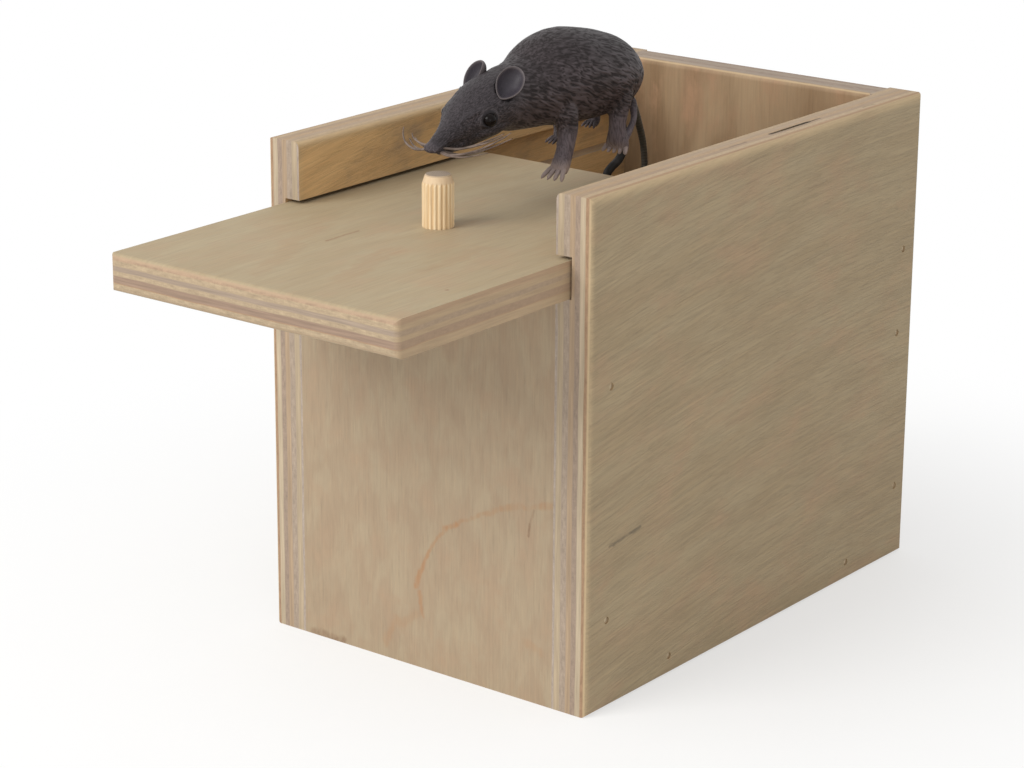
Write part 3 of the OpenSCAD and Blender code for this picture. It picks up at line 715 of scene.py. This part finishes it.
def catmull(points, steps):
    """Points of a smooth curve through the given ones; each point is a tuple of numbers of any length."""
    out = []
    for i in range(len(points) - 1):
        a, b = points[max(i - 1, 0)], points[i]
        c, d = points[i + 1], points[min(i + 2, len(points) - 1)]
        for k in range(steps):
            t = k / steps
            out.append(tuple(
                0.5 * (2 * q + (r - p) * t + (2 * p - 5 * q + 4 * r - s) * t * t
                       + (3 * q - p - 3 * r + s) * t ** 3)
                for p, q, r, s in zip(a, b, c, d)
            ))
    out.append(tuple(points[-1]))
    return out


def edges_of(verts):
    return list({edge for vert in verts for edge in vert.link_edges})


def close_loops(bm, loops):
    """Bridges loops of edges in turn and caps both ends."""
    for first, second in zip(loops, loops[1:]):
        bmesh.ops.bridge_loops(bm, edges=first + second)
    for end in (loops[0], loops[-1]):
        bmesh.ops.contextual_create(bm, geom=end)


def loft(bm, stations, sides=16, across=(1, 0, 0), ring=None):
    """Bridges ellipses into a closed skin. A station is (x, y, z, radius along across, other radius).

    ring is an optional float layer that gets the distance along the path."""
    across = Vector(across)
    path = [Vector(s[:3]) for s in stations]
    loops, run = [], 0.0
    for i, station in enumerate(stations):
        tangent = (path[min(i + 1, len(path) - 1)] - path[max(i - 1, 0)]).normalized()
        u = (across - across.dot(tangent) * tangent).normalized()
        v = tangent.cross(u)
        place = Matrix((u * station[3], v * station[4], tangent)).transposed().to_4x4()
        place.translation = path[i]
        made = bmesh.ops.create_circle(bm, segments=sides, radius=1, cap_ends=False, matrix=place)["verts"]
        if i:
            run += (path[i] - path[i - 1]).length
        if ring is not None:
            for vert in made:
                vert[ring] = run
        loops.append(edges_of(made))
    close_loops(bm, loops)


def tube(bm, points, radius, sides=12, ring=None):
    """A round tube through (x, y, z) points. radius is a number or one number for each point."""
    radii = radius if isinstance(radius, (list, tuple)) else [radius] * len(points)
    loft(bm, [(*p, r, r) for p, r in zip(points, radii)], sides, across=(1, 0.02, 0.01), ring=ring)


# ---------- wire arm, sleeve and torsion spring ----------
ROD_R, WIRE_R, SLEEVE_R, SPRING_WIRE_R = 2.0, 0.8, 1.2, 0.6
WIRE_Y = LID_REAR + 0.3 + SLEEVE_R
EYE_R = ROD_R + 0.06 + WIRE_R
# From the eye round the rod, up behind the lid, then through bends counted from WIRE_Y and the lid's top
WIRE_BENDS = [(1.8, 1), (5.5, 2.7), (7.7, 5.4), (7.8, 9.5), (6.3, 15), (5.5, 26)]
WIRE_ROUTE = [
    (0, PIVOT_Y + EYE_R * 0.6, PIVOT_Z + EYE_R * 0.8),
    (0, WIRE_Y, LID_UNDER - 6), (0, WIRE_Y, LID_UNDER), (0, WIRE_Y, LID_TOP - 1.4),
    *((0, WIRE_Y + y, LID_TOP + z) for y, z in WIRE_BENDS),
]

bm = bmesh.new()
ring_of_wire = bmesh.ops.create_circle(
    bm, segments=16, radius=WIRE_R, matrix=Matrix.Translation((0, PIVOT_Y + EYE_R, PIVOT_Z)),
)["verts"]
bmesh.ops.spin(
    bm, geom=ring_of_wire + edges_of(ring_of_wire),
    cent=(0, PIVOT_Y, PIVOT_Z), axis=(1, 0, 0), angle=math.tau, steps=36, use_merge=True,
)
tube(bm, catmull(WIRE_ROUTE, 5), WIRE_R, 12)
lift_wire = finish_piece("lift_wire_drawn", bm, wire_steel)
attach(lift_wire, "mouse")
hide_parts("lift_wire")

bm = bmesh.new()
tube(bm, catmull(WIRE_ROUTE[1:-1], 6), SLEEVE_R, 20)
wire_sleeve = finish_piece("wire_sleeve_moulded", bm, sleeve_rubber)
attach(wire_sleeve, "mouse")
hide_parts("wire_sleeve")

TURNS, COIL_R, PITCH, COIL_X = 6.25, ROD_R + SPRING_WIRE_R + 0.5, 1.7, WIRE_R + SPRING_WIRE_R + 0.6
LEG_X, LEG_Y, STAPLE_Z = COIL_X + PITCH * TURNS, FRONT_Y + PLY + SPRING_WIRE_R + 0.1, PIVOT_Z - 16
COIL_STEPS = 24
coil = [
    (COIL_X + PITCH * turn,
     PIVOT_Y - COIL_R * math.sin(math.tau * turn), PIVOT_Z + COIL_R * math.cos(math.tau * turn))
    for turn in (a / COIL_STEPS for a in range(int(TURNS * COIL_STEPS) + 1))
]
leg = catmull([
    coil[-1], (LEG_X, PIVOT_Y - COIL_R - 3, PIVOT_Z - COIL_R), (LEG_X, LEG_Y + 4, STAPLE_Z + 9),
    (LEG_X, LEG_Y + 0.8, STAPLE_Z + 6), (LEG_X, LEG_Y, STAPLE_Z + 3), (LEG_X, LEG_Y, STAPLE_Z - 4),
], 4)
bm = bmesh.new()
tube(bm, coil + leg[1:], SPRING_WIRE_R, 10)
torsion_spring = finish_piece("torsion_spring_wound", bm, wire_steel)
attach(torsion_spring, "box")
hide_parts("torsion_spring")


# ---------- mouse ----------
# Its own places count from the nose along Y and from a line through the thick of the body along Z
NOSE_Y, DATUM_Z = LID_REAR - 77.2, LID_TOP + 30
BODY = [
    (0, 23, -1.2, 4, 4), (0, 26, -1.1, 6.4, 6.4), (0, 30.5, -0.8, 8.3, 8.6), (0, 36, -0.8, 9.1, 9.2),
    (0, 42, -0.3, 10.4, 10.3), (0, 48, 0.9, 11.8, 12.2), (0, 55, 1.5, 12.7, 13.2), (0, 62, 0.8, 12.9, 12.9),
    (0, 70, -0.2, 12.4, 12.1), (0, 77, -1.3, 11.1, 10.8), (0, 83, -2.9, 8.8, 8.4), (0, 86.5, -4.3, 5.6, 5.3),
    (0, 88, -5.0, 1.2, 1.2),
]
HEAD = [
    (0, 0, -8.9, 0.6, 0.6), (0, 0.7, -8.8, 1.4, 1.3), (0, 3.2, -8.2, 2.0, 2.1), (0, 7.2, -6.8, 2.9, 3.1),
    (0, 11.2, -5.0, 4.4, 4.4), (0, 15.7, -3.2, 6.4, 5.9), (0, 21, -1.8, 7.9, 7.2), (0, 26.5, -1.0, 8.5, 8.0),
    (0, 31, -0.6, 8.2, 7.8), (0, 34, -0.4, 4, 4),
]
JAW = [
    (0, 4, -10.4, 0.8, 0.6), (0, 7, -10.2, 1.7, 1.1), (0, 12, -9.4, 3.0, 1.7), (0, 18, -7.6, 4.6, 2.8),
    (0, 25, -5.8, 5, 4),
]
CHEEKS = [(0, 12, -7.2, 3.6, 2.0), (0, 16, -6.6, 6.0, 3.0), (0, 21, -5.4, 7.4, 3.8), (0, 27, -4.4, 7.2, 4.0)]
# On each side of the head, as they stand on the +X side
MUZZLE_PAD = [
    (1.2, 0.6, -8.9, 0.7, 0.7), (1.3, 1.6, -8.9, 1.25, 1.2), (1.5, 3.4, -8.8, 1.35, 1.3),
    (1.7, 5.6, -8.4, 0.9, 0.9),
]
BROW = [
    (3.0, 9.6, -3.2, 0.6, 0.6), (4.4, 13, -1.2, 0.9, 0.9), (5.6, 17, -0.1, 1.1, 1.0),
    (6.3, 22, 0.8, 1.1, 1.1),
]
RIGHT_FRONT_LEG = [
    (6.6, 47.4, -2.5, 4.2, 5.4), (8.2, 47.8, -6.5, 3.5, 4.3), (9.2, 47.8, -10.2, 2.8, 3.3),
    (9.6, 46.8, -14, 2.4, 2.7), (9.7, 45.6, -17.3, 2.4, 2.5), (9.6, 44.4, -19.8, 2.8, 2.2),
    (9.5, 43.4, -21.6, 2.9, 1.4),
]
LEFT_FRONT_LEG = [
    (-7.5, 61, -5, 3.4, 3.8), (-6.0, 63, -10, 2.5, 2.6), (-4.7, 62.8, -13.5, 1.9, 2.0),
    (-3.5, 61.2, -16, 1.7, 1.7), (-2.8, 59.6, -17.6, 1.9, 1.3),
]
RIGHT_REAR_LEG = [
    (6.6, 73, -2.5, 4.6, 6.4), (8.2, 72.2, -6.2, 3.8, 4.8), (9.0, 71.3, -10, 2.7, 3.2),
    (9.1, 70.8, -13.5, 2.3, 2.5), (9.0, 71, -16.3, 2.8, 2.7), (8.9, 71.3, -18.6, 3.6, 2.4),
    (8.8, 71.2, -20.4, 3.9, 1.4),
]
LEFT_REAR_LEG = [
    (-8.5, 75, -5, 3.6, 4.2), (-7.4, 79, -10, 2.3, 2.6), (-6.2, 80.8, -13.5, 1.7, 1.8),
    (-5.4, 80, -15.8, 1.8, 1.4), (-5.4, 78.6, -17, 1.9, 1.0),
]
# The thin strand from the rump to the right heel
HEEL = [
    (5.5, 82.4, -9, 1.4, 1.4), (7.7, 80.6, -13, 0.95, 1.0), (8.3, 78, -16, 0.95, 1.05),
    (8.7, 74.2, -18.5, 1.5, 1.5),
]
# For each leg: (number of toes, degrees between them, length, radius, heading in degrees)
TOES = [(4, 15, 3.4, 0.74, 4), (4, 18, 2.4, 0.52, -20), (5, 11, 2.3, 0.72, 12), (4, 16, 2.0, 0.46, 0)]
EYE, EYE_BALL_R = (6.9, 16.9, -3.0), 1.85
NOSTRIL = Vector((1.0, 0.6, -8.6))
# Each ear: (side, centre, way the cup faces, way its tip points, half width, half height)
EARS = [
    ("right_ear", (7.2, 25.0, 5.3), (0.60, -0.62, 0.47), (0.08, 0.70, 0.70), 3.6, 5.1),
    ("left_ear", (-5.7, 26.4, 5.1), (-0.28, -0.86, 0.42), (0.34, 0.60, 0.78), 3.0, 4.9),
]


def at_mouse(points):
    """Moves stations from the mouse's own places into the frame."""
    return [(p[0], p[1] + NOSE_Y, p[2] + DATUM_Z, *p[3:]) for p in points]


def mouse_point(point):
    return Vector(at_mouse([point])[0])


def eye_centre(side):
    return mouse_point((EYE[0] * side, EYE[1], EYE[2]))


LEGS = [at_mouse(leg) for leg in (RIGHT_FRONT_LEG, LEFT_FRONT_LEG, RIGHT_REAR_LEG, LEFT_REAR_LEG, HEEL)]


def ear_axes(facing, tip):
    """Matrix axes of an ear: sideways, up to its tip and out of the cup."""
    facing, tip = Vector(facing).normalized(), Vector(tip)
    up = (tip - tip.dot(facing) * facing).normalized()
    return up.cross(facing), up, facing


def ear_cup(node, centre, facing, tip, half_width, half_height):
    """A thin rounded cup with a rolled rim. Its ring attribute runs from inside the cup to its back."""
    bm = bmesh.new()
    layer = bm.verts.layers.float.new("ring")
    # (share of the half size, depth in mm, place along the skin)
    inside = [
        (0.04, -1.5, 0.0), (0.30, -1.4, 0.12), (0.55, -1.0, 0.24), (0.74, -0.4, 0.34), (0.87, 0.3, 0.42),
    ]
    outside = [
        (0.96, 0.75, 0.48), (1.0, 0.55, 0.52), (1.0, 0.1, 0.58), (0.93, -0.7, 0.66),
        (0.80, -1.5, 0.74), (0.58, -2.2, 0.83), (0.30, -2.6, 0.92), (0.04, -2.7, 1.0),
    ]
    sideways, up, out = ear_axes(facing, tip)
    middle = mouse_point(centre)
    loops = []
    for share, depth, along in inside + outside:
        made = bmesh.ops.create_circle(bm, segments=40, radius=1, cap_ends=False)["verts"]
        for vert in made:
            turn = math.atan2(vert.co.y, vert.co.x)
            pinch = 1 - 0.30 * max(0.0, -math.sin(turn)) ** 2
            fold = 0.45 * math.cos(turn) ** 2 * share ** 2 - 0.55 * max(0.0, math.sin(turn)) ** 3 * share ** 2
            vert[layer] = along
            vert.co = (middle + sideways * (vert.co.x * half_width * share * pinch)
                       + up * (vert.co.y * half_height * share) + out * (depth + fold))
        loops.append(edges_of(made))
    close_loops(bm, loops)
    return finish_piece(node + "_cup", bm, ear_skin, levels=1)


def ear_root(bm, centre, facing, tip):
    """The stalk that carries the ear."""
    sideways, up, out = ear_axes(facing, tip)
    x, y, z = centre
    middle = mouse_point(centre)
    inner = mouse_point((x * 0.55, y + 1.4, z - 4.6))
    loft(bm, [
        (*(middle - out * 2.9 - up * 0.9), 1.3, 1.1), (*(middle - out * 4.0 - up * 2.0), 2.0, 1.7),
        (*inner, 3.4, 3.4),
    ], 16, across=sideways)


def eyelid(bm, side):
    """A raised almond rim round the eye."""
    out = Vector((0.93 * side, -0.33, 0.18)).normalized()
    back = Vector((0.25 * side, 0.90, 0.25))
    back = (back - back.dot(out) * out).normalized()
    up = out.cross(back) * side
    centre = eye_centre(side) + out * 0.30
    rim = [
        centre + back * 2.35 * math.cos(t) + up * 1.75 * math.sin(t) - out * 0.35 * math.cos(t) ** 2
        for t in (math.tau * k / 20 for k in range(21))
    ]
    tube(bm, [tuple(p) for p in rim], 0.50, 8)


# The web of skin from the left brow to the left ear's edge
EAR_WEB = [
    (-7.2, 22.4, -0.8, 1.8, 1.7), (-7.6, 24.3, 2.0, 1.3, 1.2), (-7.6, 26.1, 4.4, 0.8, 0.8),
    (-7.3, 27.1, 6.0, 0.5, 0.5),
]


def skin_shapes(bm):
    for stations, sides in ((BODY, 32), (HEAD, 28), (JAW, 16), (CHEEKS, 20), (EAR_WEB, 14)):
        loft(bm, at_mouse(catmull(stations, 3)), sides)
    for stations in LEGS:
        loft(bm, catmull(stations, 3), 16)
    for _, centre, facing, tip, _, _ in EARS:
        ear_root(bm, centre, facing, tip)
    for side in (1, -1):
        eyelid(bm, side)
        for stations in (MUZZLE_PAD, BROW):
            loft(bm, at_mouse(catmull([(x * side, *rest) for x, *rest in stations], 3)), 12)


def near(point, path):
    """Distance from a point to a polyline of stations."""
    best = 1e9
    for a, b in zip(path, path[1:]):
        a, b = Vector(a[:3]), Vector(b[:3])
        run = b - a
        t = max(0.0, min(1.0, (point - a).dot(run) / run.length_squared))
        best = min(best, (point - a - run * t).length)
    return best


def soft_step(value, low, high):
    t = max(0.0, min(1.0, (value - low) / (high - low)))
    return t * t * (3 - 2 * t)


def merged_skin():
    """One closed skin over body, head and legs, merged as a volume and relaxed, in millimetres."""
    bm = bmesh.new()
    skin_shapes(bm)
    rough = finish_piece("mouse_skin_volume", bm, fur)
    remesh = rough.modifiers.new("merge", "REMESH")
    remesh.mode = "VOXEL"
    remesh.voxel_size = 0.40 * MM
    merged = bpy.data.meshes.new_from_object(rough.evaluated_get(bpy.context.evaluated_depsgraph_get()))
    bpy.data.objects.remove(rough)
    bm = bmesh.new()
    bm.from_mesh(merged)
    bpy.data.meshes.remove(merged)
    bmesh.ops.scale(bm, vec=TO_MM, verts=bm.verts)
    for _ in range(3):
        bmesh.ops.smooth_vert(
            bm, verts=bm.verts, factor=0.5, use_axis_x=True, use_axis_y=True, use_axis_z=True,
        )
    bm.normal_update()
    return bm


def mouse_skin():
    """Carves the merged skin, hollows it for the ears and paints its masks."""
    bm = merged_skin()
    paint = bm.verts.layers.float_color.new("paint")
    roots = [mouse_point(ear[1]) for ear in EARS]
    eye = Vector(EYE)
    cups = [(*ear_axes(*ear[2:4]), root, *ear[4:]) for ear, root in zip(EARS, roots)]
    moves = []
    for vert in bm.verts:
        p = vert.co
        y, z = p.y - NOSE_Y, p.z - DATUM_Z
        face = 1 - soft_step(y, 20, 34)
        limb = 0.0
        if z < -8:
            limb = max(1 - soft_step(near(p, leg), 3.0, 4.6) for leg in LEGS) * soft_step(-z, 8, 13)
            # painted shade: the legs on the far (-X) side get less of the pale leg colour, and their paws
            # none of the paw colour
            limb *= 1 if p.x > 0 else 0.4
        ear = max(1 - soft_step((p - root).length, 4.0, 6.0) for root in roots)
        paw = limb * soft_step(-z, 17, 21) if p.x > 0 else 0.0
        nose = 1 - soft_step(y, 0.6, 2.2)
        mirrored = Vector((abs(p.x), y, z))
        # the alpha places the painted shade round the eyes and the painted highlight on the eyelids
        beside_eye = soft_step((mirrored - eye).length, 1.9, 3.9)
        vert[paint] = (face, max(limb, nose * 0.3), paw, beside_eye)
        clumps = noise.noise(Vector((p.x * 0.30, p.y * 0.10 + p.z * 0.12, p.z * 0.30)))
        carve = (0.12 * clumps - 0.03) * (1 - face) * (1 - limb) * (1 - ear)
        mouth = abs(z + 9.3 - 0.13 * y) if 2 < y < 15 and abs(p.x) > 0.5 else 9
        carve -= 0.42 * (1 - soft_step(mouth, 0.12, 0.6)) * (1 - soft_step(y, 11, 14))
        nostril = (mirrored - NOSTRIL).length
        carve -= 0.35 * (1 - soft_step(nostril, 0.1, 0.6))
        move = vert.normal * carve
        for across, up, out, middle, half_width, half_height in cups:
            gap = p - middle
            depth = gap.dot(out)
            share = (gap.dot(across) / half_width) ** 2 + (gap.dot(up) / half_height) ** 2
            if share < 0.9 and -1.9 < depth < 2.6:
                move = -out * (depth + 1.9) * (1 - soft_step(depth, 1.4, 2.6))
        moves.append((vert, move))
    for vert, move in moves:
        vert.co += move
    return finish_piece("mouse_skin", bm, fur)


mouse_skin_piece = mouse_skin()
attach(mouse_skin_piece, "mouse")
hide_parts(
    "mouse_body", "mouse_head",
    "front_left_leg", "front_right_leg", "rear_left_leg", "rear_right_leg",
)

for ear in EARS:
    cup = ear_cup(*ear)
    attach(cup, "mouse")
    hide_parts(ear[0])


# Toes
# Distance between the outer toes, counted in the paw's half width less a toe's
TOE_ROW = 1.8
# How far the toes start above the leg's last station, and their height as a share of their width
TOE_LIFT, TOE_FLAT = 1.1, 0.92
# Along a toe: (share of its length, drop in mm on a toe of TOE_DROP_LENGTH, share of its radius)
TOE_DROP_LENGTH = 3.6
TOE_STATIONS = [
    (-0.10, 0, 1.0), (0.25, 0.5, 1.05), (0.58, 1.3, 0.92), (0.82, 2.0, 0.86), (0.98, 2.5, 0.50),
    (1.06, 2.8, 0.14),
]


def toes(bm, station, count, spread, length, radius, heading):
    """A row of toes across the last station of a leg, fanned out about a heading in degrees from -Y."""
    root = Vector(station[:3])
    spacing = TOE_ROW * (station[3] - radius) / (count - 1)
    for k in range(count):
        place = k - (count - 1) / 2
        turn = math.radians(place * spread + heading)
        way = Vector((math.sin(turn), -math.cos(turn), 0))
        side = Vector((math.cos(turn), math.sin(turn), 0))
        start = root + Vector((place * spacing, 0, TOE_LIFT))
        points = []
        for reach, drop, share in TOE_STATIONS:
            point = start + way * length * reach + Vector((0, 0, -drop * length / TOE_DROP_LENGTH))
            points.append((*point, radius * share, radius * TOE_FLAT * share))
        loft(bm, catmull(points, 2), 10, across=side)


bm = bmesh.new()
for stations, settings in zip(LEGS, TOES):
    toes(bm, stations[-1], *settings)
paw_layer = bm.verts.layers.float_color.new("paint")
# painted shade: the toes on the far (-X) side get less of the pale leg colour and little of the paw colour
for vert in bm.verts:
    vert[paw_layer] = (0, 1, 1, 1) if vert.co.x > 0 else (0, 0.5, 0.1, 1)
toes_piece = finish_piece("mouse_toes", bm, fur, levels=1)
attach(toes_piece, "mouse")

# Eyes
for side, node in ((1, "right_eye"), (-1, "left_eye")):
    bm = bmesh.new()
    bmesh.ops.create_uvsphere(
        bm, u_segments=32, v_segments=20, radius=EYE_BALL_R,
        matrix=Matrix.Translation(eye_centre(side)),
    )
    eye = finish_piece(node + "_bead", bm, eye_black)
    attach(eye, "mouse")
    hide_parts(node)

# Whiskers: the left ones hook forwards and up, the right ones sweep back
WHISKERS = {
    "left_whiskers": [
        [(-1.3, 2.4, -9.2), (-5.2, 1.4, -9.8), (-9.6, 2.8, -9.0), (-11.4, 3.8, -7.2), (-11.5, 4.2, -5.2)],
        [(-1.3, 2.9, -8.6), (-4.4, 2.8, -8.4), (-7.4, 3.4, -7.6), (-8.6, 4.0, -6.4)],
        [(-1.3, 3.4, -9.2), (-5.0, 3.4, -10.2), (-8.6, 4.6, -9.8), (-10.8, 5.6, -8.4)],
        [(-1.3, 3.8, -8.8), (-4.0, 4.2, -9.4), (-7.0, 5.2, -9.2), (-9.4, 6.4, -8.2)],
    ],
    "right_whiskers": [
        [(1.4, 2.6, -9.2), (4.4, 4.4, -10.5), (8.8, 9.0, -9.5), (12.6, 14.2, -7.0), (14.0, 17.0, -5.4)],
        [(1.4, 3.4, -9.4), (5.2, 7.4, -10.8), (9.6, 12.6, -9.6), (13.6, 18.0, -7.2)],
        [(1.4, 2.2, -9.0), (3.3, 3.2, -10.4), (6.8, 6.2, -11.0), (11.0, 11.4, -10.2)],
        [(1.4, 4.2, -9.0), (4.6, 8.0, -9.4), (8.4, 12.6, -8.0), (11.8, 17.0, -6.0)],
        [(1.4, 3.0, -8.6), (4.8, 6.4, -9.2), (9.0, 11.2, -8.2), (12.4, 15.8, -6.4)],
    ],
}
for node, hairs in WHISKERS.items():
    bm = bmesh.new()
    for hair in hairs:
        points = catmull(at_mouse(hair), 6)
        last = len(points) - 1
        tube(bm, points, [0.36 - 0.26 * (i / last) ** 1.5 for i in range(last + 1)], 8)
    whiskers = finish_piece(node + "_moulded", bm, whisker_rubber)
    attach(whiskers, "mouse")
    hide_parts(node)

# Tail
TAIL = [(86.2, -7), (90, -11), (93.8, -18.5), (96.4, -26), (97.2, -35), (96.8, -46), (94.5, -56), (90, -63)]
TAIL_R = 1.2
bm = bmesh.new()
ring_layer = bm.verts.layers.float.new("ring")
points = catmull(at_mouse([(0, y, z) for y, z in TAIL]), 10)
radii = [TAIL_R * (1 - 0.45 * i / (len(points) - 1)) for i in range(len(points))]
tube(bm, points, radii, 16, ring=ring_layer)
tail = finish_piece("tail_ringed", bm, tail_skin)
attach(tail, "mouse")
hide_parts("tail")


# ---------- floor, light and camera ----------
def seen_directly(tree):
    """1 for rays from the camera, a mirror or glass, and 0 for those that light the box."""
    rays = add(tree, "LightPath").outputs
    mirrored = calc(tree, "MAXIMUM", rays["Is Glossy Ray"], rays["Is Transmission Ray"])
    return calc(tree, "MAXIMUM", rays["Is Camera Ray"], mirrored)


def pale_floor():
    """Shows the soft shadow near the box and fades to plain white further out."""
    material, tree, shader = new_material("pale floor")
    place = position_mm(tree)
    x, y, _ = axes(tree, place)
    far = calc(tree, "SQRT", plus(tree, times(tree, x, x), times(tree, y, y)))
    speckle = grain_noise(tree, place, 0.05, 2.0)
    tint = blend(tree, speckle, (0.90, 0.90, 0.89, 1), (0.87, 0.87, 0.865, 1))
    tree.links.new(tint, shader.inputs["Base Color"])
    shader.inputs["Roughness"].default_value = 0.8
    glow = add(tree, "Emission", {"Color": (1, 1, 1, 1), "Strength": 1.0})
    share = times(tree, seen_directly(tree), fade(tree, far, 60, 260, 0.55, 1.0))
    mixed = add(tree, "MixShader", {0: share, 1: shader.outputs[0], 2: glow.outputs[0]})
    tree.links.new(mixed.outputs[0], tree.nodes["Material Output"].inputs["Surface"])
    return material


bm = bmesh.new()
bmesh.ops.create_grid(bm, x_segments=2, y_segments=2, size=3000)
floor = finish_piece("floor", bm, pale_floor(), smooth=False)

world = bpy.data.worlds.new("studio")
bpy.context.scene.world = world
world.use_nodes = True
tree = world.node_tree
backdrop = tree.nodes["Background"]
backdrop.inputs["Color"].default_value = (1.0, 0.985, 0.96, 1)
backdrop.inputs["Strength"].default_value = 0.66
white = add(tree, "Background", {"Color": (1, 1, 1, 1), "Strength": 1.0})
mixed = add(tree, "MixShader", {0: seen_directly(tree), 1: backdrop.outputs[0], 2: white.outputs[0]})
tree.links.new(mixed.outputs[0], tree.nodes["World Output"].inputs["Surface"])


def lamp(name, place, aim, size, power, colour=(1, 1, 1)):
    light = bpy.data.lights.new(name, "AREA")
    light.shape = "SQUARE"
    light.size = size * MM
    light.energy = power
    light.color = colour
    thing = bpy.data.objects.new(name, light)
    bpy.context.collection.objects.link(thing)
    thing.location = Vector(place) * MM
    thing.rotation_euler = (Vector(aim) - Vector(place)).to_track_quat("-Z", "Y").to_euler()


lamp("key", (-330, -900, 760), (0, -40, 90), 620, 9.5, (1.0, 0.985, 0.955))
lamp("fill", (800, -700, 300), (20, -60, 80), 400, 1.2, (0.97, 0.985, 1.0))

scene = bpy.context.scene
scene.view_settings.view_transform = "Standard"
camera_data = bpy.data.cameras.new("camera")
camera = bpy.data.objects.new("camera", camera_data)
bpy.context.collection.objects.link(camera)
scene.camera = camera
AZIMUTH, PITCH_DOWN, ROLL = math.radians(37.71), math.radians(17.70), math.radians(0.34)
camera.location = Vector((486.7, -671.6, 325.7)) * MM
camera.rotation_euler = (
    Matrix.Rotation(AZIMUTH, 3, "Z") @ Matrix.Rotation(math.pi / 2 - PITCH_DOWN, 3, "X")
    @ Matrix.Rotation(ROLL, 3, "Z")
).to_euler()
FRAME_PIXELS, FOCAL_PIXELS = 1024, 3049.4
camera_data.sensor_width = 36
camera_data.lens = FOCAL_PIXELS / FRAME_PIXELS * camera_data.sensor_width
